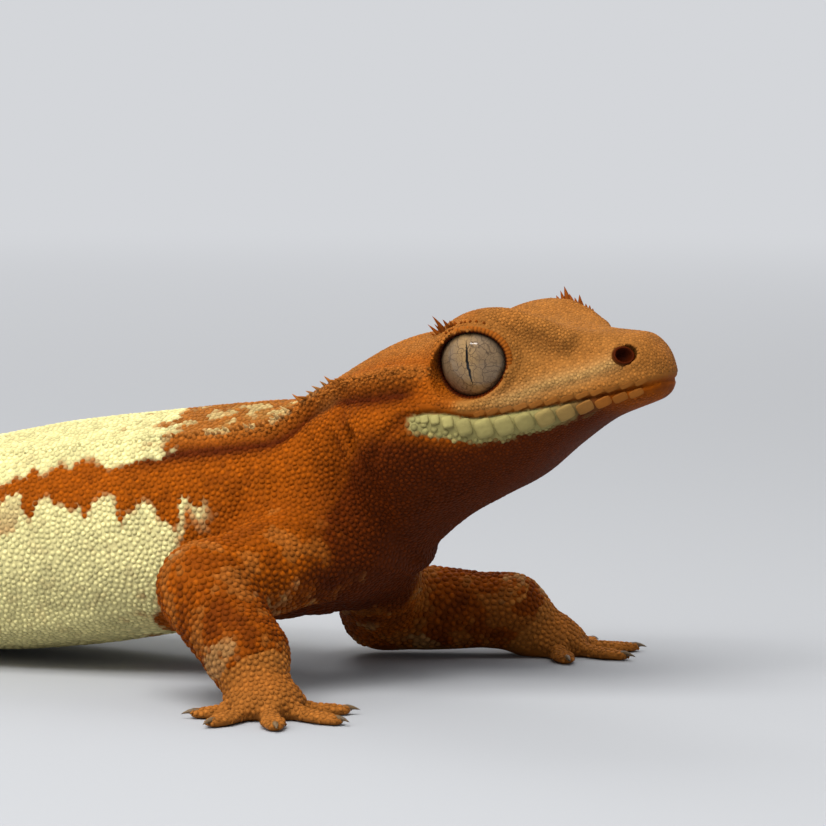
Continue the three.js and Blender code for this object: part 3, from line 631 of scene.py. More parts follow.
def lattice_noise(points, seed):
    """Smooth noise from 0 to 1, the same at every run."""
    rng = np.random.default_rng(seed)
    order = rng.permutation(256)
    values = rng.random(256)
    cell = np.floor(points).astype(int)
    share = points - cell
    share = share * share * (3 - 2 * share)
    total = 0
    for corner in range(8):
        bits = np.array([corner & 1, corner >> 1 & 1, corner >> 2 & 1])
        i, j, k = ((cell + bits) & 255).T
        weight = np.prod(np.where(bits, share, 1 - share), axis=1)
        total = total + weight * values[order[(order[(order[i] + j) & 255] + k) & 255]]
    return total


def cloud_noise(points, size, seed, octaves=3):
    total, weight = 0, 0
    for octave in range(octaves):
        total = total + lattice_noise(points / size * 2**octave, seed + octave) / 2**octave
        weight += 1 / 2**octave
    return total / weight


def body_places(points):
    """Where each point lies on the animal: station, angle, side, head place, limb, share down the limb."""
    station, _, _, left, up = AXIS.locate(points)
    angle = np.degrees(np.arctan2(up, np.abs(left)))
    best = body_field(points)
    limb_index = np.full(len(points), -1)
    share = np.zeros(len(points))
    around = np.arctan2(left, up)
    for index, limb in enumerate(LIMBS):
        near = near_limb(points, limb)
        here = points[near]
        (upper, upper_share), (lower, lower_share) = limb_bones(here, limb)
        reach = np.linalg.norm(here - np.array(limb["palm_at"]), axis=1)
        fields = np.stack([upper + 0.3, lower, foot_field(here, limb)])
        nearest = fields.min(0)
        shares = [0.4 * upper_share, 0.4 + 0.3 * lower_share, 0.7 + 0.3 * np.clip(reach / 9, 0, 1)]
        down = np.choose(fields.argmin(0), shares)
        closer = nearest < best[near]
        rows = np.flatnonzero(near)[closer]
        best[rows] = nearest[closer]
        limb_index[rows] = index
        share[rows] = down[closer]
        middle, end = (np.array(joint) for joint in limb["joints"][1:])
        line = end - middle
        away = here[closer] - middle
        across = unit(np.cross(line, (0, 0, 1.0)))
        around[rows] = np.arctan2(away @ across, away @ unit(np.cross(across, line)))
    return {
        "point": points, "station": station, "angle": angle, "side": np.sign(left), "head": to_head(points),
        "limb": limb_index, "share": share, "around": around,
    }


def atlas_uv(places):
    """The animal's skin laid flat: body in the lower half, each limb in its own strip above."""
    around = places["around"] / (2 * math.pi) + 0.5
    strip = np.maximum(places["limb"], 0)
    on_limb = [0.02 + 0.5 * (strip % 2) + 0.46 * places["share"], 0.56 + 0.22 * (strip // 2) + 0.2 * around]
    on_body = [0.01 + 0.98 * places["station"] / AXIS.length, 0.02 + 0.5 * around]
    return np.where(places["limb"] < 0, on_body, on_limb).T


def skin_noises(places):
    """Noises about zero that the markings share: broad patches, flames and teeth, specks, fine grain."""
    point = places["point"]
    flat = np.stack([places["station"], places["angle"] * 0.05, places["side"] * 3], 1)
    return (
        cloud_noise(point, 7.0, 11) - 0.5,
        cloud_noise(flat, 3.4, 21) - 0.5,
        cloud_noise(flat * (1, 0.5, 1), 1.25, 23, 2) - 0.5,
        cloud_noise(point, 1.7, 31) - 0.5,
        cloud_noise(point, 0.8, 41, 2) - 0.5,
    )


def trunk_cream(at, angle, noises):
    """Cream of the back and of the flank, with a toothed rust band between them, and of the tail's top."""
    broad, flame, teeth, speck, fine = noises
    ragged = 26 * flame + 14 * teeth + 5 * fine
    back = ramp(angle - ragged, BACK_EDGE, 3) * ramp(at + 12 * speck + 9 * broad, BACK_START, 2)
    drop = 30 * np.maximum(flame, 0) + 46 * np.maximum(teeth + 0.02, 0) - 8 * broad
    flank = ramp(angle + drop, FLANK_EDGE, -3)
    flank = flank * ramp(at + 0.12 * angle + 5 * teeth + 10 * speck, FLANK_START, 3)
    rusty = 0.85 * ramp(broad, 0.14, 0.04) * bell(angle + 8, 22)
    trunk = np.maximum(back, flank * (1 - rusty)) * (1 - 0.12 * ramp(fine, 0.12, 0.08))
    tail = ramp(angle - 60 * speck, 30, 14) * (0.9 - 0.5 * ramp(speck, 0, 0.07))
    return trunk, tail


def dark_and_shade_mask(at, angle, head, crown, noises):
    """Painted shadow in the line under the crest, painted shade in the folds, a throat and underside dark
    partly in their own colour and partly as painted shade, a dark patch at the side of the neck, and scattered
    olive specks.
    """
    broad, _, _, speck, fine = noises
    # Painted shadow in the line under the crest, where the ridge overhangs its groove.
    shade_under_crest = bell(angle - CREST_AT(at) + CREST_GROOVE["below"], CREST_GROOVE["across"])
    # Painted shade, partly the throat's own darker colour: the lower the surface lies on throat and underside,
    # the darker.
    depth = 8 * broad - angle - 2 - 5 * bell(at - 13, 4) + 9 * bell(at - 23, 4)
    # Painted shade in the creases of the head's folds.
    lines = [to_head(head_places(fold["line"], 1)) for fold in HEAD_FOLDS]
    folds = np.max([bell(line_distance(mirror(head), line), 0.8) for line in lines], axis=0)
    return np.maximum.reduce([
        0.97 * shade_under_crest * ramp(at, 18, 3) * ramp(at, 54, -8),
        0.88 * ramp(depth, 0, 15) * ramp(at, 2, 5) * ramp(at, 47, -8),
        0.6 * bell(at - 30, 4) * bell(angle + 8, 20),
        0.3 * crown * ramp(speck, 0.02, 0.1) + 0.22 * ramp(broad, -0.08, -0.1),
        0.7 * folds * (at < HEAD_END),
        0.3 * ramp(fine, 0.1, 0.1),
    ])


def markings(places):
    """Masks of the markings: cream, tan, dark and lip, each from 0 to 1."""
    at, angle, head, share = (places[key] for key in ("station", "angle", "head", "share"))
    noises = skin_noises(places)
    broad, _, _, speck, fine = noises
    mottle = ramp(speck, 0, 0.07)
    cream, tail_cream = trunk_cream(at, angle, noises)
    nape = ramp(at, 27, 5) * ramp(at, 53, -6) * ramp(angle - CREST_AT(at), -3, 4)
    cream = np.maximum(cream, 0.4 * nape * ramp(fine + speck, 0.06, 0.1))
    crown = ramp(at, 31, -5) * ramp(angle, 25, 22)
    over_lip = ramp(head[:, 2], MOUTH_AT(head[:, 0]), 0.5)
    face = ramp(at, 19, -7) * over_lip
    streak = bell(line_distance(head * (1, 0, 1), LIP_RIDGE_FLAT), 0.8) * over_lip * (at < 19)
    crest = bell(angle - CREST_AT(at), CREST_RIDGE["across"]) * ramp(at, 17, 2) * ramp(at, 60, -15)
    tan = np.maximum.reduce([
        nape * (0.55 + 0.45 * mottle),
        crown * (0.6 + 0.6 * broad),
        face * (0.7 + 0.5 * broad),
        streak,
        0.4 * crest,
    ])
    cream = np.maximum(cream, 0.14 * streak * ramp(head[:, 0], -1, 4))
    cream = mix(cream, tail_cream, ramp(at, AXIS.stations[TAIL_ROW], 10))
    # dark holds the dark marks together with painted shade under the crest, in the folds and on the throat.
    dark = dark_and_shade_mask(at, angle, head, crown, noises) * (1 - 0.9 * streak) * (1 - 0.8 * crest)
    limb_cream = ramp(broad + 0.5 * speck + 0.25 * fine, 0.12, 0.06) * np.where(places["limb"] >= 2, 0.75, 0.15)
    limb_dark = 0.4 * bell(share - 0.62, 0.16) + 0.3 * ramp(speck, -0.05, -0.1)
    hand = ramp(share, 0.7, 0.12)
    on_limb = (places["limb"] >= 0) * ramp(share + 0.3 * speck, 0.02, 0.2)
    cream = mix(cream, limb_cream * (1 - hand), on_limb)
    tan = mix(tan, np.maximum(0.6 * hand, 0.3 * mottle), on_limb)
    dark = mix(dark, limb_dark * (1 - hand), on_limb)
    # Painted shade in the nostril's pit: fully dark, with no tan.
    pit = pit_reach(NOSTRIL, NOSTRIL["bare"], head) < 0.9
    dark, tan = np.where(pit, 1, dark), np.where(pit, 0, tan)
    lip = lip_mask(head, fine) * (at < 28) * (1 - on_limb)
    return np.stack([cream, tan, dark, lip], 1).clip(0, 1)


def lip_mask(head, fine):
    """The pale band under the mouth: deep behind, tapering forwards, with an uneven lower edge."""
    forward = head[:, 0]
    drop = MOUTH_AT(forward) - head[:, 2]
    deepest = between(forward, LIP_BAND) + 0.9 * fine
    band = ramp(drop, -0.1, 0.2) * ramp(drop, deepest, -0.35)
    return band * ramp(forward, -5.9, 0.5) * ramp(forward, 9.5, -6)


def shift_to_frame():
    """What carries the model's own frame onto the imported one, in millimetres."""
    low, high = (np.array(corner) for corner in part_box("eye_right"))
    return (low + high) / 2 / MM - eye_centre(-1)


SHIFT = shift_to_frame()


def mesh_piece(name, points, polygons, material, attributes=None, uv=None):
    """A mesh object from millimetre points and polygons of one size, riding on the body."""
    old = bpy.data.objects.get(name)
    if old:
        bpy.data.objects.remove(old)
    mesh = bpy.data.meshes.new(name)
    mesh.vertices.add(len(points))
    mesh.vertices.foreach_set("co", ((points + SHIFT) * MM).astype(np.float32).ravel())
    mesh.loops.add(polygons.size)
    mesh.loops.foreach_set("vertex_index", polygons.astype(np.int32).ravel())
    mesh.polygons.add(len(polygons))
    mesh.polygons.foreach_set("loop_start", np.arange(0, polygons.size, polygons.shape[1], dtype=np.int32))
    mesh.update(calc_edges=True)
    mesh.shade_smooth()
    for label, values in (attributes or {}).items():
        kind = "FLOAT_COLOR" if values.shape[1] == 4 else "FLOAT_VECTOR"
        field = "color" if kind == "FLOAT_COLOR" else "vector"
        mesh.attributes.new(label, kind, "POINT").data.foreach_set(field, values.astype(np.float32).ravel())
    if uv is not None:
        layer = mesh.uv_layers.new(name="OFBake")
        layer.data.foreach_set("uv", uv[polygons.ravel()].astype(np.float32).ravel())
    mesh.materials.append(material)
    piece = bpy.data.objects.new(name, mesh)
    bpy.context.collection.objects.link(piece)
    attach(piece, "root")
    return piece


class SkinGrid:
    """A bent lattice over the animal, fine at the head, from which the skin's surface is drawn."""

    COARSE = 4
    FINE_CELL, BODY_CELL = 0.27, 0.5
    FRONT, BACK = 17.5, -179.5
    HALF_WIDTH, HEIGHT = 31.0, 36.0

    def __init__(self):
        places = [self.FRONT]
        while places[-1] > self.BACK:
            places.append(places[-1] - self.cell_at(places[-1]))
        while len(places) % self.COARSE != 1:
            places.append(places[-1] - self.BODY_CELL)
        self.x = np.array(places)
        self.cell = np.array([self.cell_at(x) for x in places])
        self.rows = (
            len(places),
            self.COARSE * math.ceil(2 * self.HALF_WIDTH / self.FINE_CELL / self.COARSE) + 1,
            self.COARSE * math.ceil(self.HEIGHT / self.FINE_CELL / self.COARSE) + 1,
        )

    def cell_at(self, x):
        return mix(self.FINE_CELL, self.BODY_CELL, float(ramp(x, -13, -10)))

    def place(self, i, j, k):
        cell = self.cell[i]
        return np.stack([self.x[i], (j - self.rows[1] // 2) * cell, (k - 0.5) * cell], 1)

    def sample(self):
        """The field on the lattice: real values near the skin, far ones only right in sign."""
        step = self.COARSE
        coarse = np.stack(np.meshgrid(*(np.arange(0, n, step) for n in self.rows), indexing="ij"), -1)
        shape = coarse.shape[:3]
        index = coarse.reshape(-1, 3)
        values = in_chunks(skin_field, self.place(*index.T)).reshape(shape)
        reach = (self.cell[index[:, 0]] * step * 1.9).reshape(shape)
        close = np.abs(values) < reach
        cells = np.zeros([n - 1 for n in shape], bool)
        for corner in range(8):
            a, b, c = corner & 1, corner >> 1 & 1, corner >> 2 & 1
            cells |= close[a : shape[0] - 1 + a, b : shape[1] - 1 + b, c : shape[2] - 1 + c]
        field = values
        active = cells
        for axis in range(3):
            field = np.repeat(field, step, axis=axis)
            active = np.repeat(active, step, axis=axis)
        field = field[: self.rows[0], : self.rows[1], : self.rows[2]].astype(np.float32)
        nodes = np.zeros(self.rows, bool)
        nodes[: active.shape[0], : active.shape[1], : active.shape[2]] = active
        i, j, k = np.nonzero(nodes)
        field[i, j, k] = in_chunks(skin_field, self.place(i, j, k))
        return field

    def surface(self):
        """One four-sided mesh over the whole animal: a point in each crossed cell."""
        field = self.sample()
        inside = field < 0
        cell_shape = tuple(n - 1 for n in self.rows)
        size = int(np.prod(cell_shape))
        sums, counts = np.zeros((size, 3)), np.zeros(size)
        quads = []
        for axis in range(3):
            step, u, v = np.roll(np.eye(3, dtype=int), -axis, axis=0)
            first = tuple(slice(0, n - s) for n, s in zip(self.rows, step))
            second = tuple(slice(s, n) for n, s in zip(self.rows, step))
            i, j, k = np.nonzero(inside[first] != inside[second])
            low = field[i, j, k]
            high = field[i + step[0], j + step[1], k + step[2]]
            share = (low / (low - high))[:, None]
            start, end = self.place(i, j, k), self.place(i + step[0], j + step[1], k + step[2])
            crossing = start + share * (end - start)
            ring = []
            base = np.stack([i, j, k], 1)
            for back_u, back_v in ((1, 1), (0, 1), (0, 0), (1, 0)):
                cell = base - back_u * u - back_v * v
                ring.append(np.ravel_multi_index(cell.T, cell_shape))
            for cells in ring:
                counts += np.bincount(cells, minlength=size)
                for c in range(3):
                    sums[:, c] += np.bincount(cells, weights=crossing[:, c], minlength=size)
            quad = np.stack(ring, 1)
            quads.append(np.where(inside[i, j, k][:, None], quad[:, ::-1], quad))
        quads = np.concatenate(quads)
        used = np.unique(quads)
        points = sums[used] / counts[used][:, None]
        return points, np.searchsorted(used, quads)


def face_outwards(points, polygons, normals):
    """The polygons wound so that they face the way of the normals."""
    a, b, c = (points[polygons[:, i]] for i in (0, 1, 2))
    facing = np.einsum("ij,ij->i", np.cross(b - a, c - a), normals[polygons[:, 0]])
    return polygons[:, ::-1] if (facing < 0).mean() > 0.5 else polygons


def ring_faces(rings, sides):
    """Triangles over a stack of rings, closed by the one point that follows them."""
    k, n = np.arange(sides), (np.arange(sides) + 1) % sides
    faces = []
    for low in range(0, (rings - 1) * sides, sides):
        high = low + sides
        faces += [np.stack([low + k, low + n, high + n], 1), np.stack([low + k, high + n, high + k], 1)]
    last = (rings - 1) * sides
    faces.append(np.stack([last + k, last + n, 0 * k + rings * sides], 1))
    return np.concatenate(faces)


def copies(faces, count, per):
    """The same faces for a number of copies, each with its own points."""
    return (np.arange(count)[:, None, None] * per + faces[None]).reshape(-1, faces.shape[1])


def by_ring(values, sides):
    """A value for every point of a stack of rings, the last one for the point that closes it."""
    return np.repeat(values, [sides] * (len(values) - 1) + [1])


def vertex_masks(marks, tones, levels):
    """The marks and the grain of every vertex in a set of small pieces with the same levels."""
    grain = [np.repeat(tones, len(levels)), np.tile(levels, len(tones)), np.zeros(len(tones) * len(levels))]
    return {"marks": np.repeat(marks, len(levels), axis=0), "grain": np.stack(grain, 1)}


def point_tree(points):
    tree = kdtree.KDTree(len(points))
    for i, point in enumerate(points.tolist()):
        tree.insert(point, i)
    tree.balance()
    return tree


def fill(tree, node, inputs):
    """Sets or links the node's inputs, given by name or number."""
    for key, value in inputs.items():
        if isinstance(value, bpy.types.NodeSocket):
            tree.links.new(value, node.inputs[key])
        else:
            node.inputs[key].default_value = value


def add_node(tree, kind, inputs=None, **settings):
    node = tree.nodes.new("ShaderNode" + kind)
    for name, value in settings.items():
        setattr(node, name, value)
    fill(tree, node, inputs or {})
    return node


def noise_node(tree, scale, detail, vector):
    return add_node(tree, "TexNoise", {"Scale": scale, "Detail": detail, "Vector": vector})


def math_node(tree, operation, first, second=0.0, clamp=False):
    return add_node(tree, "Math", {0: first, 1: second}, operation=operation, use_clamp=clamp).outputs[0]


def mix_colors(tree, factor, first, second, blend="MIX"):
    node = add_node(tree, "Mix", data_type="RGBA", blend_type=blend)
    fill(tree, node, {0: factor, 6: first, 7: second})
    return node.outputs[2]


def bump_node(tree, strength, distance, height):
    node = add_node(tree, "Bump", {"Strength": strength, "Distance": distance, "Height": height})
    return node.outputs["Normal"]


def new_material(name):
    """A new material, its node tree and its shader."""
    material = bpy.data.materials.new(name)
    material.use_nodes = True
    return material, material.node_tree, material.node_tree.nodes["Principled BSDF"]


def built_once(name, make, *values):
    """What make gives, kept under its name so that every later call gets the same."""
    if name not in BUILT:
        BUILT[name] = make(*values)
    return BUILT[name]


def effect_group(name, inputs, outputs):
    """An empty node group with named sockets, and its input and output nodes."""
    group = bpy.data.node_groups.new(name, "ShaderNodeTree")
    for way, sockets in (("INPUT", inputs), ("OUTPUT", outputs)):
        for label, kind in sockets.items():
            group.interface.new_socket(label, in_out=way, socket_type="NodeSocket" + kind)
    return group, group.nodes.new("NodeGroupInput"), group.nodes.new("NodeGroupOutput")


def markings_group():
    """Colour, roughness and fine relief of the skin from its marking masks and grain, with painted shade in the
    grooves between the scales.
    """
    group, start, end = effect_group(
        "Gecko markings",
        {
            "Position": "Vector", "Marks": "Color", "Lip": "Float", "Grain": "Vector", "Rust": "Color",
            "Cream": "Color", "Tan": "Color", "Dark": "Color", "Lip color": "Color", "Painted groove shade": "Float",
        },
        {"Color": "Color", "Roughness": "Float", "Height": "Float"},
    )
    into = start.outputs
    calc, blend = partial(math_node, group), partial(mix_colors, group)
    masks = add_node(group, "SeparateColor", {0: into["Marks"]}).outputs
    tone, height, _ = add_node(group, "SeparateXYZ", {0: into["Grain"]}).outputs
    patchy = noise_node(group, 260.0, 3.0, into["Position"]).outputs["Fac"]
    speckle = noise_node(group, 2600.0, 2.0, into["Position"]).outputs["Fac"]
    color = blend(masks[2], into["Rust"], into["Dark"])
    color = blend(masks[1], color, into["Tan"])
    color = blend(masks[0], color, into["Cream"])
    color = blend(into["Lip"], color, into["Lip color"])
    vary = calc("ADD", calc("MULTIPLY", tone, 0.44), 0.78)
    vary = calc("MULTIPLY", vary, calc("ADD", calc("MULTIPLY", patchy, 0.5), 0.75))
    vary = calc("MULTIPLY", vary, calc("ADD", calc("MULTIPLY", speckle, 0.24), 0.88))
    # Painted shade between the scales: darker towards each granule's foot, as far as the groove strength asks.
    depth = calc("MULTIPLY", calc("SUBTRACT", 1.0, height, True), into["Painted groove shade"])
    vary = calc("MULTIPLY", vary, calc("SUBTRACT", 1.12, depth))
    grey = add_node(group, "CombineColor", {0: vary, 1: vary, 2: vary}).outputs[0]
    fill(group, end, {
        "Color": blend(1.0, color, grey, "MULTIPLY"),
        "Roughness": calc("ADD", calc("MULTIPLY", speckle, 0.3), 0.5),
        "Height": calc("ADD", speckle, patchy),
    })
    return group


def skin_material(name, groove, bump):
    """Dry granular skin; groove is how far painted shade darkens it between the scales."""
    colors = bpy.context.scene.gecko_colors
    material, tree, shader = new_material(name)
    marks = add_node(tree, "Attribute", attribute_name="marks").outputs
    effect = add_node(tree, "Group", node_tree=built_once("markings", markings_group))
    fill(tree, effect, {
        "Position": add_node(tree, "TexCoord").outputs["Object"],
        "Marks": marks["Color"],
        "Lip": marks["Alpha"],
        "Grain": add_node(tree, "Attribute", attribute_name="grain").outputs["Vector"],
        "Rust": (*colors.rust, 1),
        "Cream": (*colors.cream, 1),
        "Tan": (*colors.tan, 1),
        "Dark": (*colors.dark, 1),
        "Lip color": (*colors.lip, 1),
        "Painted groove shade": groove,
    })
    fill(tree, shader, {
        "Base Color": effect.outputs["Color"],
        "Roughness": effect.outputs["Roughness"],
        "Normal": bump_node(tree, bump, 0.00008, effect.outputs["Height"]),
        "Specular IOR Level": 0.06,
    })
    return material


def skin_materials():
    # The first number is how dark the painted shade between the scales gets, the second the bump's strength.
    skin = built_once("skin", skin_material, "Gecko skin", 0.35, 0.5)
    return skin, built_once("scales", skin_material, "Gecko scales", 0.62, 0.35)


def length_setting(name, description, default):
    return FloatProperty(name=name, description=description, default=default, unit="LENGTH")


def color_setting(name, description, default):
    return FloatVectorProperty(
        name=name, description=description, default=default, subtype="COLOR", min=0, max=1, size=3
    )


class GeckoBodySettings(bpy.types.PropertyGroup):
    """Sizes of the gecko's skin, scales and spines."""

    eye_radius: length_setting("Eye radius", "Radius of the eyeballs", 0.0036)
    head_scale: length_setting("Head scale", "Spacing of the granules on the head's top", 0.0003)
    cheek_scale: length_setting("Cheek scale", "Spacing of the granules on the cheeks", 0.00043)
    trunk_scale: length_setting("Trunk scale", "Spacing of the granules on back and flanks", 0.00047)
    limb_scale: length_setting("Limb scale", "Spacing of the granules on the limbs", 0.00062)
    belly_scale: length_setting("Belly scale", "Spacing of the flat scales underneath", 0.0008)
    lash_length: length_setting("Lash length", "Length of the longest brow spine", 0.0017)
    crest_height: length_setting("Crest height", "Length of the crest's spines behind the eyes", 0.0009)


class GeckoColorSettings(bpy.types.PropertyGroup):
    """Colours of the gecko, as linear values."""

    rust: color_setting("Rust", "Main colour of head, sides and limbs", (0.285, 0.062, 0.0015))
    cream: color_setting("Cream", "Back and lower flanks", (0.64, 0.57, 0.26))
    tan: color_setting("Tan", "Crown, nape and hands", (0.31, 0.13, 0.027))
    # Dark also carries painted shade: on the throat and in the line under the crest.
    dark: color_setting("Dark", "Throat and the line under the crest", (0.06, 0.008, 0.0005))
    lip: color_setting("Lip", "Scutes along the lower lip", (0.29, 0.25, 0.09))
    iris: color_setting("Iris", "Ground of the iris", (0.155, 0.095, 0.045))
    claw: color_setting("Claw", "Horn of the claws", (0.20, 0.12, 0.05))
    floor: color_setting("Floor", "Studio floor round the animal", (0.36, 0.365, 0.375))
    backdrop: color_setting("Backdrop", "Even light all round, and the floor far off", (0.94, 0.96, 1.0))


class GeckoStageSettings(bpy.types.PropertyGroup):
    """Light and camera of the studio."""

    key: FloatProperty(
        name="Key light", description="Power of the soft light overhead", default=5.0, unit="POWER"
    )
    fill: FloatProperty(
        name="Fill light", description="Power of the light beside the camera", default=2.0, unit="POWER"
    )
    sky: FloatProperty(name="Sky", description="Strength of the even light all round", default=0.70)
    distance: length_setting("Camera distance", "From the camera to the near eye", 0.38)
    lens: FloatProperty(name="Lens", description="Focal length of the camera in millimetres", default=198.7)


class GECKO_OT_skin(bpy.types.Operator):
    """Build the single skin over the whole animal"""

    bl_idname = "gecko.skin"
    bl_label = "Skin"

    def execute(self, context):
        points, quads = SkinGrid().surface()
        points, normals = onto_skin(points)
        points[:, 2] = np.maximum(points[:, 2], 0.01)
        quads = face_outwards(points, quads, normals)
        places = body_places(points)
        # The bare skin counts as low, so the painted shade between the scales darkens it.
        grain = np.tile((0.5, 0.45, 0.0), (len(points), 1))
        attributes = {"marks": markings(places), "grain": grain}
        skin = mesh_piece("skin", points, quads, skin_materials()[0], attributes)
        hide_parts(*FLESH_NODES)
        BUILT["surface"] = points, quads
        return {"FINISHED"}


def scale_spacing(places):
    """Spacing of the granules, in millimetres, by where they lie."""
    body = bpy.context.scene.gecko_body
    at, angle, limb, share = places["station"], places["angle"], places["limb"], places["share"]
    top, cheek, trunk, limbs, belly = (
        s / MM for s in (body.head_scale, body.cheek_scale, body.trunk_scale, body.limb_scale, body.belly_scale)
    )
    behind_mouth = ramp(at, 16.5, 3) * ramp(angle, 30, -8)
    under_lip = bell(at - 14, 7) * bell(angle + 16, 9) * 0.8
    size = mix(top, cheek, np.maximum(behind_mouth, under_lip))
    head = places["head"]
    over_mouth = head[:, 2] - MOUTH_AT(head[:, 0])
    corner = bell(over_mouth + 1.2, 1.2) * bell(head[:, 0] + 3.6, 2.2) * (at < 26)
    size = mix(size, COARSE_GRANULE, corner)
    size = mix(size, trunk, ramp(at, 25, 8))
    under = ramp(angle, -48, -15) * ramp(at, 30, 10)
    size = mix(size, belly, under)
    size = mix(size, COARSE_GRANULE, ramp(at, 120, 12))
    down_limb = ((0, trunk), (0.3, trunk + 0.08), (0.5, limbs), (0.72, 0.5), (1, 0.4))
    return np.where(limb >= 0, between(share, down_limb), size)


def bare_places(places, normals):
    """Where no granule grows: eyes, mouth slit, lip scutes, pits and soles."""
    head = mirror(places["head"])
    from_eye = np.linalg.norm(head - (0, EYE_SIDE, 0), axis=1)
    eye = from_eye < bpy.context.scene.gecko_body.eye_radius / MM + 0.12
    beyond, out = opening_reach(head)
    eye |= (beyond < 0.1) & (out > OPENING["from"] - 0.2)
    near = np.flatnonzero(from_eye < 5)
    rim, _ = lid_edge(np.linspace(0, 2 * math.pi, 181), LID_RIM["margin"], LID_RIM["radius"])
    eye[near] |= line_distance(head[near], rim) < LID_RIM["thick"] + 0.1
    over_mouth = head[:, 2] - MOUTH_AT(head[:, 0])
    deep = between(head[:, 0], LIP_HEIGHTS) + 0.1
    lips = (over_mouth < 0.62) & (over_mouth > -deep) & (head[:, 0] > LIP_START)
    corner = (np.abs(over_mouth) < 0.25) & (head[:, 0] > -5.7)
    lips = (lips | corner) & (places["station"] < 24) & (places["limb"] < 0)
    pits = (pit_reach(NOSTRIL, NOSTRIL["bare"], head) < 1.3) | (pit_reach(EAR, EAR["bare"], head) < 1.0)
    sole = (places["point"][:, 2] < 0.12) | ((normals[:, 2] < -0.6) & (places["point"][:, 2] < 1.0))
    return eye | lips | pits | sole


def neighbour_reach(roots, along, across, count=12):
    """How far each root's own cell of skin reaches in every direction of its ring."""
    tree = point_tree(roots)
    near = np.array([[j for _, j, _ in tree.find_n(root, count + 1)[1:]] for root in roots.tolist()])
    away = roots[near] - roots[:, None]
    u = np.einsum("ijk,ik->ij", away, along)
    v = np.einsum("ijk,ik->ij", away, across)
    turn = turns(SIDES)
    toward = u[..., None] * np.cos(turn) + v[..., None] * np.sin(turn)
    square = (u**2 + v**2)[..., None]
    return np.where(toward > 1e-6, square / (2 * np.maximum(toward, 1e-6)), 9).min(1)


def scatter(points, quads, seed, crowding=8.0):
    """Random spots on the skin, thinned and then pushed apart until they lie evenly."""
    rng = np.random.default_rng(seed)
    triangles = np.concatenate([quads[:, [0, 1, 2]], quads[:, [0, 2, 3]]])
    corners = points[triangles]
    facing = np.cross(corners[:, 1] - corners[:, 0], corners[:, 2] - corners[:, 0])
    area = np.linalg.norm(facing, axis=1) / 2
    middles = body_places(corners.mean(1))
    spacing = scale_spacing(middles)
    wanted = np.where(bare_places(middles, unit(facing)), 0, area / spacing**2)
    count = int(wanted.sum() * crowding)
    pick = np.searchsorted(np.cumsum(wanted) / wanted.sum(), rng.random(count)).clip(0, len(triangles) - 1)
    a, b = rng.random((2, count))
    flip = a + b > 1
    a, b = np.where(flip, 1 - a, a), np.where(flip, 1 - b, b)
    chosen = corners[pick]
    sides = chosen[:, 1:] - chosen[:, :1]
    spots = chosen[:, 0] + a[:, None] * sides[:, 0] + b[:, None] * sides[:, 1]
    size = spacing[pick]
    tree = point_tree(spots)
    gone = bytearray(count)
    kept = []
    sizes = size.tolist()
    for i, spot in enumerate(spots.tolist()):
        if gone[i]:
            continue
        kept.append(i)
        for _, j, _ in tree.find_range(spot, sizes[i] * 0.8):
            gone[j] = 1
    return spots[kept], size[kept]


def spread_out(roots, normals, size):
    """Moves each root towards the middle of its own cell and back onto the skin."""
    turn = turns(SIDES)
    for _ in range(2):
        along, across = tangent_frames(normals, AXIS.at(AXIS.locate(roots)[0])[:, 3:6])
        reach = np.minimum(neighbour_reach(roots, along, across), 0.7 * size[:, None])
        weight = (reach**2).sum(1)
        u = (reach**3 * np.cos(turn)).sum(1) / weight * 0.66
        v = (reach**3 * np.sin(turn)).sum(1) / weight * 0.66
        roots = roots + u[:, None] * along + v[:, None] * across
    return onto_skin(roots, 1)


def tangent_frames(normals, lie):
    """Two directions in the skin at each root: along the lie of the scales, and across it."""
    along = unit(lie - np.einsum("ij,ij->i", lie, normals)[:, None] * normals)
    return along, np.cross(normals, along)


def scale_meshes(roots, normals, size, height, lie):
    """Rounded granules that meet their neighbours: a sunk foot, a shoulder and a crown for each."""
    along, across = tangent_frames(normals, lie)
    reach = np.minimum(neighbour_reach(roots, along, across), 0.62 * size[:, None])
    turn = turns(SIDES)
    flat = (np.cos(turn) * reach)[..., None] * along[:, None]
    flat = flat + (np.sin(turn) * reach)[..., None] * across[:, None]
    rise = height[:, None, None] * normals[:, None]
    rings = [roots[:, None] + share * flat + level * rise for share, level in GRANULE_RINGS]
    crown = (roots + height[:, None] * normals)[:, None]
    return np.concatenate([*rings, crown], axis=1)


def patch_uv(places, reach):
    """A small patch of the laid-out skin for every scale, at its root's place."""
    turn = np.arange(len(reach)) * (2 * math.pi / SIDES)
    offset = np.stack([np.cos(turn), np.sin(turn)], 1) * reach[:, None] * UV_PATCH
    return (atlas_uv(places)[:, None] + offset[None]).reshape(-1, 2)


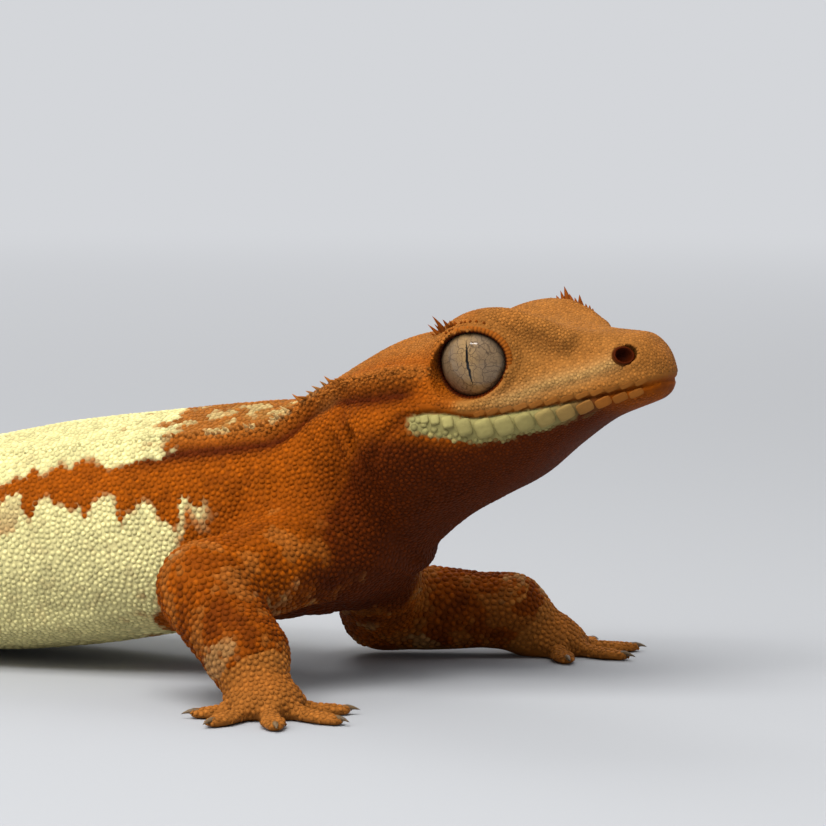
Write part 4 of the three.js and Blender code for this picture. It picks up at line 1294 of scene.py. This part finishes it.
class GECKO_OT_scales(bpy.types.Operator):
    """Cover the skin with its granular scales"""

    bl_idname = "gecko.scales"
    bl_label = "Scales"

    # Granules in one piece, and how high a granule's foot, shoulder and crown count for the painted shade
    # between granules
    MOST = 9000
    LEVELS = (0, 0.72, 1.0)
    # A granule's height as a share of its spacing, by station and by place down a limb
    RAISED = ((0, 0.1), (8, 0.12), (16, 0.17), (20, 0.24), (30, 0.3), (60, 0.22), (112, 0.2))
    RAISED_ON_LIMB = ((0, 0.24), (0.3, 0.3), (0.5, 0.36), (0.7, 0.3), (1, 0.2))
    REGIONS = (
        ("scales_body", lambda p: p["limb"] < 0),
        ("scales_arms", lambda p: (p["limb"] >= 0) & (p["limb"] < 2)),
        ("scales_legs", lambda p: p["limb"] >= 2),
    )

    def execute(self, context):
        rng = np.random.default_rng(7)
        roots, size = scatter(*BUILT["surface"], 5)
        roots, normals = onto_skin(roots, 1)
        roots, normals = spread_out(roots, normals, size)
        places = body_places(roots)
        keep = ~bare_places(places, normals)
        roots, normals, size = roots[keep], normals[keep], size[keep]
        places = {key: value[keep] for key, value in places.items()}
        at, angle, limb = places["station"], places["angle"], places["limb"]
        on_limb = between(places["share"], self.RAISED_ON_LIMB)
        raised = np.where(limb >= 0, on_limb, between(at, self.RAISED))
        raised = np.where((angle < -50) & (limb < 0), raised * 0.5, raised)
        height = size * raised * rng.uniform(0.75, 1.2, len(roots))
        lie = AXIS.at(at)[:, 3:6]
        points = scale_meshes(roots, normals, size, height, lie)
        per = points.shape[1]
        marks = markings(places)
        tone = rng.random(len(roots))
        uv = patch_uv(places, by_ring((1.0, 0.6, 0), SIDES)).reshape(-1, per, 2)
        for name, test in self.REGIONS:
            members = np.flatnonzero(test(places))
            members = members[np.argsort(at[members], kind="stable")]
            for number, here in enumerate(np.array_split(members, math.ceil(len(members) / self.MOST))):
                faces = copies(ring_faces(len(GRANULE_RINGS), SIDES), len(here), per)
                masks = vertex_masks(marks[here], tone[here], by_ring(self.LEVELS, SIDES))
                mesh_piece(
                    f"{name}_{number + 1}", points[here].reshape(-1, 3), faces,
                    skin_materials()[1], masks, uv[here].reshape(-1, 2),
                )
        return {"FINISHED"}


def spike_meshes(roots, directions, lengths, radii, bend, sides=SPINE_SIDES):
    """Curved, tapering spines: three rings and a tip for each, the foot sunk into the skin."""
    directions = unit(directions)
    guide = np.where(np.abs(directions[:, 2:]) < 0.9, [[0, 0, 1.0]], [[1.0, 0, 0]])
    across = unit(np.cross(directions, guide))
    other = np.cross(directions, across)
    turn = turns(sides)
    ring = np.cos(turn)[None, :, None] * across[:, None] + np.sin(turn)[None, :, None] * other[:, None]
    rings = []
    for share, width in SPINE_RINGS:
        centre = roots + lengths[:, None] * (share * directions + max(share, 0) ** 2 * bend)
        rings.append(centre[:, None] + (width * radii)[:, None, None] * ring)
    tip = roots + lengths[:, None] * (directions + bend)
    points = np.concatenate([*rings, tip[:, None]], axis=1).reshape(-1, 3)
    return points, copies(ring_faces(len(rings), sides), len(roots), len(rings) * sides + 1)


def crest_roots(rng):
    """Stations, angles, sides and sizes of the crest's spines on both sides."""
    rows = []
    second = CREST_SPINES["second_row"]
    for side in (1, -1):
        at = CREST_SPINES["from"]
        while at < CREST_SPINES["to"]:
            size = between(at, CREST_SPINES["size"])
            for row in range(2 if at < CREST_SPINES["two_rows_to"] else 1):
                angle = CREST_AT(at) + rng.normal(0, 1.0) - second["lower"] * row
                share = (1, second["size"])[row]
                rows.append((at + second["behind"] * row, angle, side, size * share * rng.uniform(0.7, 1.2)))
            at += between(at, CREST_SPINES["gap"]) * rng.uniform(0.85, 1.15)
    return np.array(rows)


def lash_roots(rng):
    """Roots, directions and lengths of the spines on both brows and eye rims."""
    rows = []
    longest = bpy.context.scene.gecko_body.lash_length / MM
    line_shares = np.linspace(0, 1, len(BROW_LINE))
    for side in (1, -1):
        look = gaze(side)
        for count, start, end, margin, share in LASH_ROWS:
            for i in range(count):
                place = (i + rng.uniform(-0.3, 0.3)) / (count - 1)
                degrees = mix(start, end, place)
                spot, out = lid_edge(math.radians(degrees), margin, LID_RADIUS)
                stands = 0.13 + 1.1 * bell(degrees - LONGEST_LASH_TURN, 20)
                length = longest * share * stands * rng.uniform(0.65, 1.0)
                lean = (out * (1, side, 1)) @ HEAD_BASIS + 0.3 * look + rng.normal(0, 0.12, 3)
                lean = lean + 0.8 * HEAD_BASIS[2]
                rows.append((*from_head(spot * (1, side, 1)), *lean, length))
        for i in range(BROW_SPINES):
            place = (i + rng.uniform(0, 0.8)) / BROW_SPINES
            spot = np.array([np.interp(place, line_shares, column) for column in BROW_LINE.T])
            seen = np.interp(place, (0.2, 0.35), (0.35, 0)) if side < 0 else 1.0
            length = longest * seen * (0.2 + 1.15 * bell(place - 0.6, 0.2)) * rng.uniform(0.5, 1.1)
            root = from_head(spot * (1, side, 1)) + 0.45 * look + 0.35 * HEAD_BASIS[2]
            lean = 0.75 * (HEAD_BASIS[2] + look) + (0.5 * place - 0.45) * HEAD_BASIS[0] + rng.normal(0, 0.14, 3)
            rows.append((*root, *lean, length))
    return np.array([row for row in rows if row[6] > SHORTEST_SPINE])


class GECKO_OT_spines(bpy.types.Operator):
    """Grow the crest and the brow spines"""

    bl_idname = "gecko.spines"
    bl_label = "Crest and lashes"

    # How high each ring and the tip count, and how far they reach on the UV map
    LEVELS = (0.1, 0.35, 0.7, 0.9, 1.0)
    SPREAD = (1.0, 0.8, 0.5, 0.3, 0)

    def execute(self, context):
        rng = np.random.default_rng(19)
        rows = crest_roots(rng)
        roots, normals = onto_skin(surface_point(rows[:, 0], rows[:, 1], rows[:, 2]), 2)
        lie = AXIS.at(rows[:, 0])[:, 3:6]
        height = context.scene.gecko_body.crest_height / MM * rows[:, 3]
        radii = 0.2 * rows[:, 3] ** 0.3
        self.grow("crest_spines", roots, normals - 0.2 * lie, height, radii, -0.12 * lie, rng, (0.45, 0.05))
        lashes = lash_roots(rng)
        roots, _ = onto_skin(lashes[:, :3], 2)
        lie = np.tile(HEAD_BASIS[0], (len(lashes), 1))
        radii = 0.14 + 0.09 * lashes[:, 6]
        self.grow("brow_spines", roots, lashes[:, 3:6], lashes[:, 6], radii, -0.1 * lie, rng, (0.05, 0.5))
        return {"FINISHED"}

    def grow(self, name, roots, directions, lengths, radii, bend, rng, tints):
        places = body_places(roots)
        points, faces = spike_meshes(roots, directions, lengths, radii, bend)
        marks = markings(places) * (1, 0, 0, 0)
        marks[:, 1:3] = tints
        masks = vertex_masks(marks, rng.random(len(roots)), by_ring(self.LEVELS, SPINE_SIDES))
        uv = patch_uv(places, by_ring(self.SPREAD, SPINE_SIDES))
        mesh_piece(name, points, faces, skin_materials()[1], masks, uv)


def plate_meshes(roots, normals, lie, half_long, half_tall, depth, sides=SCUTE_SIDES):
    """Domed scutes with rounded square outlines: a sunk foot and three rising rings."""
    along, across = tangent_frames(normals, lie)
    turn = turns(sides)
    c, s = np.cos(turn), np.sin(turn)
    squared = (np.abs(c) ** 5 + np.abs(s) ** 5) ** (-1 / 5)
    rings = []
    for reach, rise in SCUTE_RINGS:
        flat = (c * squared)[None, :, None] * (half_long[:, None] * along)[:, None]
        flat = flat + (s * squared)[None, :, None] * (half_tall[:, None] * across)[:, None]
        rings.append(roots[:, None] + reach * flat + (rise * depth)[:, None, None] * normals[:, None])
    crown = roots + depth[:, None] * normals
    points = np.concatenate([*rings, crown[:, None]], axis=1).reshape(-1, 3)
    return points, copies(ring_faces(len(rings), sides), len(roots), len(rings) * sides + 1)


class GECKO_OT_lips(bpy.types.Operator):
    """Set the scutes along both lips"""

    bl_idname = "gecko.lips"
    bl_label = "Lip scutes"

    LOWER_WIDTHS = (0.75, 0.85, 1.0, 1.3, 1.55, 1.6, 1.6, 1.6, 1.55, 1.5, 1.45, 1.35, 1.3)
    UPPER_WIDTHS = (0.7, 0.75, 0.8, 0.9, 1.0, 1.0, 1.1, 1.1, *[1.2] * 9)
    # Where the upper row starts and both rows end, forward of the eyes
    UPPER_START, END = -0.8, 13.6
    # How far the scutes stand out, and how pale the lower ones are, by place forward of the eyes
    UPPER_DEPTH = 0.02
    LOWER_DEPTHS = ((-4, 0.22), (5, 0.22), (7, 0.08), (12, 0.02))
    PALE = ((-6, 1), (3, 0.95), (6.5, 0.5), (8.6, 0))
    # How high each ring and the crown count, and how far they reach on the UV map
    LEVELS = (0.0, 0.5, 0.8, 0.95, 1.0)
    SPREAD = (1.0, 0.8, 0.6, 0.3, 0)

    def execute(self, context):
        rows = []
        for side in (1, -1):
            for upper, widths in ((False, self.LOWER_WIDTHS), (True, self.UPPER_WIDTHS)):
                forward = LIP_START
                for width in widths:
                    middle = forward + width / 2
                    tall = 0.5 if upper else between(middle, LIP_HEIGHTS)
                    drop = -0.08 - tall / 2 if upper else 0.12 + tall / 2
                    rows.append((middle, MOUTH_AT(middle) - drop, side, width / 2 * 0.98, tall / 2, upper))
                    forward += width * 0.985
        rows = [row for row in rows if row[0] < self.END and (row[0] > self.UPPER_START or not row[5])]
        rows = np.array(rows, float)
        middle, height, side, half_long, half_tall, upper = rows.T
        at, angle = on_head(middle, height)
        roots, normals = onto_skin(surface_point(at, angle, side), 2)
        lie = np.tile(HEAD_BASIS[0], (len(rows), 1))
        depth = np.where(upper > 0, self.UPPER_DEPTH, between(middle, self.LOWER_DEPTHS))
        points, faces = plate_meshes(roots, normals, lie, half_long, half_tall, depth)
        places = body_places(roots)
        marks = markings(places)
        marks[:, 3] = np.where(upper == 0, between(middle, self.PALE), 0)
        marks[:, 1] = np.maximum(marks[:, 1], 0.5)
        marks[:, 2] = 0.2
        tones = np.random.default_rng(3).uniform(0.3, 0.75, len(rows))
        masks = vertex_masks(marks, tones, by_ring(self.LEVELS, SCUTE_SIDES))
        uv = patch_uv(places, by_ring(self.SPREAD, SCUTE_SIDES))
        mesh_piece("lip_scutes", points, faces, skin_materials()[0], masks, uv)
        return {"FINISHED"}


class GECKO_OT_nostrils(bpy.types.Operator):
    """Line both nostrils, darkened inwards with painted shade"""

    bl_idname = "gecko.nostrils"
    bl_label = "Nostrils"

    # The lining from its outer edge to the bottom: share of the radii, rise over the skin
    LINING = (
        (1.4, -0.3), (1.22, -0.1), (1.1, -0.03), (0.98, -0.08), (0.84, -0.32), (0.62, -0.62), (0.3, -0.85),
    )
    RADII = (0.74, 0.64)
    SIDES = 28
    # The place whose slope the nostril takes, and how much further ahead it faces
    SLOPE_AT = (8.8, -1.6)
    FACING_AHEAD = 0.55

    def execute(self, context):
        sides = np.array([1, -1])
        spots = head_places([(NOSTRIL["forward"], NOSTRIL["up"])] * 2, sides)
        _, normals = onto_skin(head_places([self.SLOPE_AT] * 2, sides), 1)
        normals = unit(normals + self.FACING_AHEAD * HEAD_BASIS[0])
        along, across = tangent_frames(normals, np.tile(HEAD_BASIS[0], (2, 1)))
        turn = turns(self.SIDES)[:, None]
        flat = np.cos(turn) * self.RADII[0] * along[:, None] + np.sin(turn) * self.RADII[1] * across[:, None]
        rings = []
        for share, rise in self.LINING:
            rings.append(spots[:, None] + share * flat + (rise - COAT_DEPTH) * normals[:, None])
        points = np.concatenate([*rings, (spots - normals)[:, None]], axis=1)
        triangles = copies(ring_faces(len(rings), self.SIDES), 2, points.shape[1])
        points = points.reshape(-1, 3)
        reach, rise = (np.tile(by_ring(values, self.SIDES), 2) for values in zip(*self.LINING, (0, -1)))
        # Painted shade in the nostril: the lining gets darker towards its bottom, and its deeper rings count
        # low for the painted shade between scales.
        dark = ramp(reach, 1.75, -0.6)
        marks = np.stack([0 * dark, 0.65 * (1 - dark), dark, 0 * dark], 1)
        masks = {"marks": marks, "grain": np.stack([0 * dark + 0.5, (rise > -0.05) * 0.9, 0 * dark], 1)}
        uv = atlas_uv(body_places(points))
        mesh_piece("nostrils", points, triangles, skin_materials()[1], masks, uv)
        return {"FINISHED"}


def eye_material():
    """Wet eye: a grey-beige iris with dark veins, gold beside a black wavy slit, near black at the rim as
    painted shade of the lids.
    """
    iris = bpy.context.scene.gecko_colors.iris
    material, tree, shader = new_material("Gecko eye")
    calc, blend = partial(math_node, tree), partial(mix_colors, tree)
    where = add_node(tree, "Attribute", attribute_name="iris").outputs["Vector"]
    across, along, to_lid = add_node(tree, "SeparateXYZ", {0: where}).outputs
    wide = noise_node(tree, 0.55, 3.0, where).outputs["Fac"]
    fine = noise_node(tree, 3.2, 4.0, where).outputs["Fac"]
    cloud = noise_node(tree, 1.1, 3.0, where).outputs["Color"]
    warp = add_node(tree, "VectorMath", operation="SCALE")
    fill(tree, warp, {0: cloud, "Scale": 0.9})
    bent = add_node(tree, "VectorMath", {0: where, 1: warp.outputs[0]}, operation="ADD").outputs[0]
    ground = blend(wide, (*iris, 1), (0.24, 0.155, 0.08, 1))
    ground = blend(calc("MULTIPLY", fine, 0.5), ground, (0.10, 0.075, 0.05, 1))
    beside = calc("SUBTRACT", 1.0, calc("DIVIDE", calc("ABSOLUTE", across), 1.3, True), True)
    ground = blend(calc("MULTIPLY", beside, 0.55), ground, (0.36, 0.21, 0.07, 1))
    for scale, width, share, color in (
        (1.0, 0.045, 0.75, (0.035, 0.02, 0.012, 1)), (1.9, 0.06, 0.5, (0.05, 0.03, 0.018, 1)),
    ):
        cells = add_node(tree, "TexVoronoi", {"Scale": scale, "Vector": bent}, feature="DISTANCE_TO_EDGE")
        vein = calc("SUBTRACT", 1.0, calc("DIVIDE", cells.outputs["Distance"], width, True), True)
        ground = blend(calc("MULTIPLY", vein, share), ground, color)
    # Painted shade of the lids: the iris turns near black towards the edge of their opening.
    edge = calc("MULTIPLY", calc("SUBTRACT", to_lid, 0.82), 7.0, True)
    ground = blend(edge, ground, (0.008, 0.005, 0.004, 1))
    wave = add_node(tree, "TexNoise", noise_dimensions="1D")
    fill(tree, wave, {"Scale": 2.2, "W": along})
    centre = calc("ADD", across, calc("MULTIPLY", calc("SUBTRACT", wave.outputs["Fac"], 0.5), 0.3))
    centre = calc("SUBTRACT", centre, calc("MULTIPLY", along, 0.11))
    middle = calc("ABSOLUTE", calc("SUBTRACT", along, 0.42))
    taper = calc("SUBTRACT", 0.16, calc("MULTIPLY", calc("POWER", middle, 2.0), 0.036))
    slit = calc("MULTIPLY", calc("SUBTRACT", taper, calc("ABSOLUTE", centre)), 18.0, True)
    fill(tree, shader, {
        "Base Color": blend(slit, ground, (0.002, 0.0015, 0.001, 1)),
        "Roughness": 0.32,
        "Coat Weight": 1.0,
        "Coat Roughness": 0.02,
        "Coat IOR": 1.38,
        "Specular IOR Level": 0.1,
        "Normal": bump_node(tree, 0.35, 0.0001, fine),
    })
    return material


def lid_rims():
    """The beaded edges of the lids round both eyes, dark where they meet the eye, partly as dark skin and
    partly as painted shade.
    """
    turn = turns(LID_RIM["around"])
    line, _ = lid_edge(turn, LID_RIM["margin"], LID_RIM["radius"])
    ahead = unit(np.roll(line, -1, axis=0) - np.roll(line, 1, axis=0))
    away = line - (0, EYE_SIDE, 0)
    away = unit(away - (away * ahead).sum(1, keepdims=True) * ahead)
    across = np.cross(ahead, away)
    ring = turns(LID_RIM["sides"])
    bead = np.abs(np.sin(turn * LID_RIM["beads"] / 2))
    spoke = np.cos(ring)[:, None] * away[:, None] + np.sin(ring)[:, None] * across[:, None]
    points = (line[:, None] + LID_RIM["thick"] * (1 + 0.14 * bead[:, None, None]) * spoke).reshape(-1, 3)
    start = np.arange(len(turn))[:, None] * len(ring)
    end = np.roll(start, -1, axis=0)
    i, j = np.arange(len(ring)), (np.arange(len(ring)) + 1) % len(ring)
    quads = np.stack([start + i, start + j, end + j, end + i], -1).reshape(-1, 4)
    beyond, _ = opening_reach(points)
    # Partly dark skin and partly painted shade where the lid meets the eye.
    dark = np.tile(ramp(beyond, 0.2, -0.2), 2)
    both = np.concatenate([from_head(points), from_head(points * (1, -1, 1))])
    faces = np.concatenate([quads, quads[:, ::-1] + len(points)])
    marks = np.stack([0 * dark, 0.25 * (1 - dark), dark, 0 * dark], 1)
    beads = np.tile(np.repeat(bead, len(ring)), 2)
    # The beads count high and the hollows between them low, for the painted shade between scales.
    masks = {"marks": marks, "grain": np.stack([0 * dark + 0.4, beads, 0 * dark], 1)}
    uv = atlas_uv(body_places(both))
    mesh_piece("lid_rims", both, faces, skin_materials()[1], masks, uv)


def ball(look, forward, up, rings, sides):
    """A ball of radius 1 with its poles along the gaze: points and triangles."""
    turn = turns(sides)
    fall = (np.arange(rings) + 1) * math.pi / (rings + 1)
    ring = np.cos(turn)[:, None] * forward + np.sin(turn)[:, None] * up
    body = np.sin(fall)[:, None, None] * ring[None] + np.cos(fall)[:, None, None] * look
    k, n = np.arange(sides), (np.arange(sides) + 1) % sides
    faces = []
    for low in range(0, (rings - 1) * sides, sides):
        high = low + sides
        faces += [np.stack([low + k, high + n, low + n], 1), np.stack([low + k, high + k, high + n], 1)]
    last, pole = (rings - 1) * sides, rings * sides
    faces += [np.stack([k, n, 0 * k + pole], 1), np.stack([last + n, last + k, 0 * k + pole + 1], 1)]
    return np.concatenate([body.reshape(-1, 3), [look, -look]]), np.concatenate(faces)


class GECKO_OT_eyes(bpy.types.Operator):
    """Set the two eyes and the edges of their lids"""

    bl_idname = "gecko.eyes"
    bl_label = "Eyes and lids"

    RINGS, SIDES = 48, 96

    def execute(self, context):
        material = eye_material()
        radius = context.scene.gecko_body.eye_radius / MM
        for name, side in (("eye_left", 1), ("eye_right", -1)):
            look = gaze(side)
            forward = unit(HEAD_BASIS[0] - (HEAD_BASIS[0] @ look) * look)
            up = np.cross(look, forward) * -side
            unit_points, faces = ball(look, forward, up, self.RINGS, self.SIDES)
            if side > 0:
                faces = faces[:, ::-1]
            away = unit_points * radius
            flat = np.stack([away @ forward, away @ up], 1)
            share = np.linalg.norm((flat - OPENING["middle"]) / OPENING["half"], axis=1)
            iris = np.hstack([flat, share[:, None]])
            points = eye_centre(side) + away
            piece = mesh_piece("iris_" + name[4:], points, faces, material, {"iris": iris})
            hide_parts(name)
        lid_rims()
        return {"FINISHED"}


def claw_material():
    material, tree, shader = new_material("Gecko claw")
    streak = noise_node(tree, 900.0, 2.0, add_node(tree, "TexCoord").outputs["Object"]).outputs["Fac"]
    color = mix_colors(tree, streak, (*bpy.context.scene.gecko_colors.claw, 1), (0.05, 0.03, 0.015, 1))
    fill(tree, shader, {"Base Color": color, "Roughness": 0.3})
    return material


class GECKO_OT_claws(bpy.types.Operator):
    """Put a claw on every toe"""

    bl_idname = "gecko.claws"
    bl_label = "Claws"

    ROOT_HEIGHT, LENGTH, RADIUS, SIDES = 0.62, 1.2, 0.27, 8

    def execute(self, context):
        toes = [toe for limb in LIMBS for toe in toe_frames(limb)]
        roots = np.array([start + out * (reach + 0.35) for start, out, reach in toes])
        roots = roots + (0, 0, self.ROOT_HEIGHT)
        directions = np.array([out for _, out, _ in toes]) + (0, 0, 0.12)
        lengths, radii = np.full(len(toes), self.LENGTH), np.full(len(toes), self.RADIUS)
        bend = np.tile((0, 0, -0.32), (len(toes), 1))
        points, faces = spike_meshes(roots, directions, lengths, radii, bend, self.SIDES)
        points[:, 2] = np.maximum(points[:, 2], 0.02)
        mesh_piece("claws", points, faces, claw_material())
        return {"FINISHED"}


def fade_between(tree, value, start, end):
    node = add_node(tree, "MapRange", interpolation_type="SMOOTHSTEP")
    fill(tree, node, {"Value": value, "From Min": start, "From Max": end})
    return node.outputs["Result"]


def glow_group():
    """The studio's even light: its colour towards any direction, pale behind the animal."""
    group, start, end = effect_group(
        "Studio glow",
        {"Direction": "Vector", "Pale": "Color", "Dim": "Color"},
        {"Color": "Color"},
    )
    turn = math.radians(GECKO_OT_stage.CAMERA_AZIMUTH)
    behind = add_node(group, "VectorMath", operation="DOT_PRODUCT")
    fill(group, behind, {0: start.outputs["Direction"], 1: (-math.sin(turn), math.cos(turn), 0.3)})
    fade = fade_between(group, behind.outputs["Value"], -0.7, 0.85)
    fill(group, end, {"Color": mix_colors(group, fade, start.outputs["Dim"], start.outputs["Pale"])})
    return group


def studio_glow(tree, direction, pale):
    effect = add_node(tree, "Group", node_tree=built_once("glow", glow_group))
    fill(tree, effect, {"Direction": direction, "Pale": (*pale, 1), "Dim": (*(0.4 * c for c in pale), 1)})
    return effect.outputs["Color"]


def floor_material(near, far, strength):
    """A matt floor round the animal that passes into the studio's glow further off."""
    black = (0, 0, 0, 1)
    material, tree, shader = new_material("Studio floor")
    where = add_node(tree, "TexCoord").outputs["Object"]
    reach = add_node(tree, "VectorMath", {0: where}, operation="LENGTH").outputs["Value"]
    heading = add_node(tree, "VectorMath", {0: where}, operation="NORMALIZE").outputs["Vector"]
    fade = fade_between(tree, reach, 0.12, 0.8)
    fill(tree, shader, {
        "Base Color": mix_colors(tree, fade, (*near, 1), black),
        "Emission Color": mix_colors(tree, fade, black, studio_glow(tree, heading, far)),
        "Emission Strength": strength,
        "Roughness": 0.9,
        "Specular IOR Level": 0,
    })
    return material


class GECKO_OT_stage(bpy.types.Operator):
    """Set the pale floor, the soft lights and the camera"""

    bl_idname = "gecko.stage"
    bl_label = "Stage"

    CAMERA_AZIMUTH, CAMERA_ELEVATION = 28.0, 5.0
    # The near eye's opening: its place from the eye's centre, and where it shows in the picture
    OPENING = np.array([0.123, -2.397, 0.0])
    FOCAL_PIXELS, PICTURE_MIDDLE = 4560.0, 413.0
    EYE_PIXEL = (472.0, 362.0)

    def execute(self, context):
        stage = context.scene.gecko_stage
        colors = context.scene.gecko_colors
        bpy.ops.mesh.primitive_plane_add(size=60, location=(0, 0, 0))
        floor = context.object
        floor.name = "floor"
        floor.data.materials.append(floor_material(colors.floor, colors.backdrop, stage.sky))
        self.camera(context, stage)
        context.scene.view_settings.view_transform = "Standard"
        for name, power, size, place in (
            ("key", stage.key, 0.45, (0.1, -0.3, 0.55)),
            ("fill", stage.fill, 0.5, (-0.3, -0.55, 0.3)),
            ("back", stage.key * 0.35, 0.3, (-0.3, 0.45, 0.45)),
            ("strip", stage.key * 0.06, 0.16, (0.02, -0.33, 0.38)),
        ):
            light = bpy.data.lights.new(name, "AREA")
            light.energy, light.size = power, size
            lamp = bpy.data.objects.new(name, light)
            if name == "strip":
                light.shape, light.size_y = "RECTANGLE", 0.03
            lamp.visible_glossy = name == "strip"
            lamp.location = place
            lamp.rotation_mode = "QUATERNION"
            lamp.rotation_quaternion = (-Vector(place)).to_track_quat("-Z", "Y")
            context.collection.objects.link(lamp)
        world = bpy.data.worlds.new("Studio")
        world.use_nodes = True
        tree = world.node_tree
        glow = studio_glow(tree, add_node(tree, "TexCoord").outputs["Generated"], colors.backdrop)
        fill(tree, tree.nodes["Background"], {"Color": glow, "Strength": stage.sky})
        context.scene.world = world
        return {"FINISHED"}

    def camera(self, context, stage):
        azimuth, elevation = math.radians(self.CAMERA_AZIMUTH), math.radians(self.CAMERA_ELEVATION)
        right = np.array([math.cos(azimuth), math.sin(azimuth), 0])
        level = np.array([-math.sin(azimuth), math.cos(azimuth), 0])
        look = level * math.cos(elevation) - np.array([0, 0, math.sin(elevation)])
        up = np.cross(right, look)
        distance = stage.distance / MM
        aside = (self.EYE_PIXEL[0] - self.PICTURE_MIDDLE) / self.FOCAL_PIXELS * distance
        above = (self.PICTURE_MIDDLE - self.EYE_PIXEL[1]) / self.FOCAL_PIXELS * distance
        eye = eye_centre(-1) + self.OPENING + SHIFT
        place = (eye - aside * right - above * up - distance * look) * MM
        data = bpy.data.cameras.new("Camera")
        data.lens, data.sensor_width = stage.lens, 36.0
        data.clip_start, data.clip_end = 0.01, 20.0
        camera = bpy.data.objects.new("Camera", data)
        camera.matrix_world = Matrix(
            [[*row, place[i]] for i, row in enumerate(np.stack([right, up, -look], 1))] + [[0, 0, 0, 1]]
        )
        context.collection.objects.link(camera)
        context.scene.camera = camera


class GECKO_PT_panel(bpy.types.Panel):
    """Sizes, colours and steps of the gecko model"""

    bl_idname = "GECKO_PT_panel"
    bl_label = "Crested gecko"
    bl_space_type = "VIEW_3D"
    bl_region_type = "UI"
    bl_category = "Gecko"

    def draw(self, context):
        layout = self.layout
        for settings in (context.scene.gecko_body, context.scene.gecko_colors, context.scene.gecko_stage):
            for name in settings.__annotations__:
                layout.prop(settings, name)
        for step in STEPS:
            layout.operator(step.bl_idname)


STEPS = (
    GECKO_OT_stage, GECKO_OT_skin, GECKO_OT_scales, GECKO_OT_spines, GECKO_OT_lips, GECKO_OT_nostrils,
    GECKO_OT_eyes, GECKO_OT_claws,
)
CLASSES = (GeckoBodySettings, GeckoColorSettings, GeckoStageSettings, *STEPS, GECKO_PT_panel)


def register():
    for each in CLASSES:
        bpy.utils.register_class(each)
    bpy.types.Scene.gecko_body = PointerProperty(type=GeckoBodySettings)
    bpy.types.Scene.gecko_colors = PointerProperty(type=GeckoColorSettings)
    bpy.types.Scene.gecko_stage = PointerProperty(type=GeckoStageSettings)


def unregister():
    for name in ("gecko_body", "gecko_colors", "gecko_stage"):
        delattr(bpy.types.Scene, name)
    for each in reversed(CLASSES):
        bpy.utils.unregister_class(each)


def main():
    register()
    bpy.ops.gecko.stage()
    bpy.ops.gecko.skin()
    bpy.ops.gecko.scales()
    bpy.ops.gecko.spines()
    bpy.ops.gecko.lips()
    bpy.ops.gecko.nostrils()
    bpy.ops.gecko.eyes()
    bpy.ops.gecko.claws()


if __name__ == "__main__":
    main()
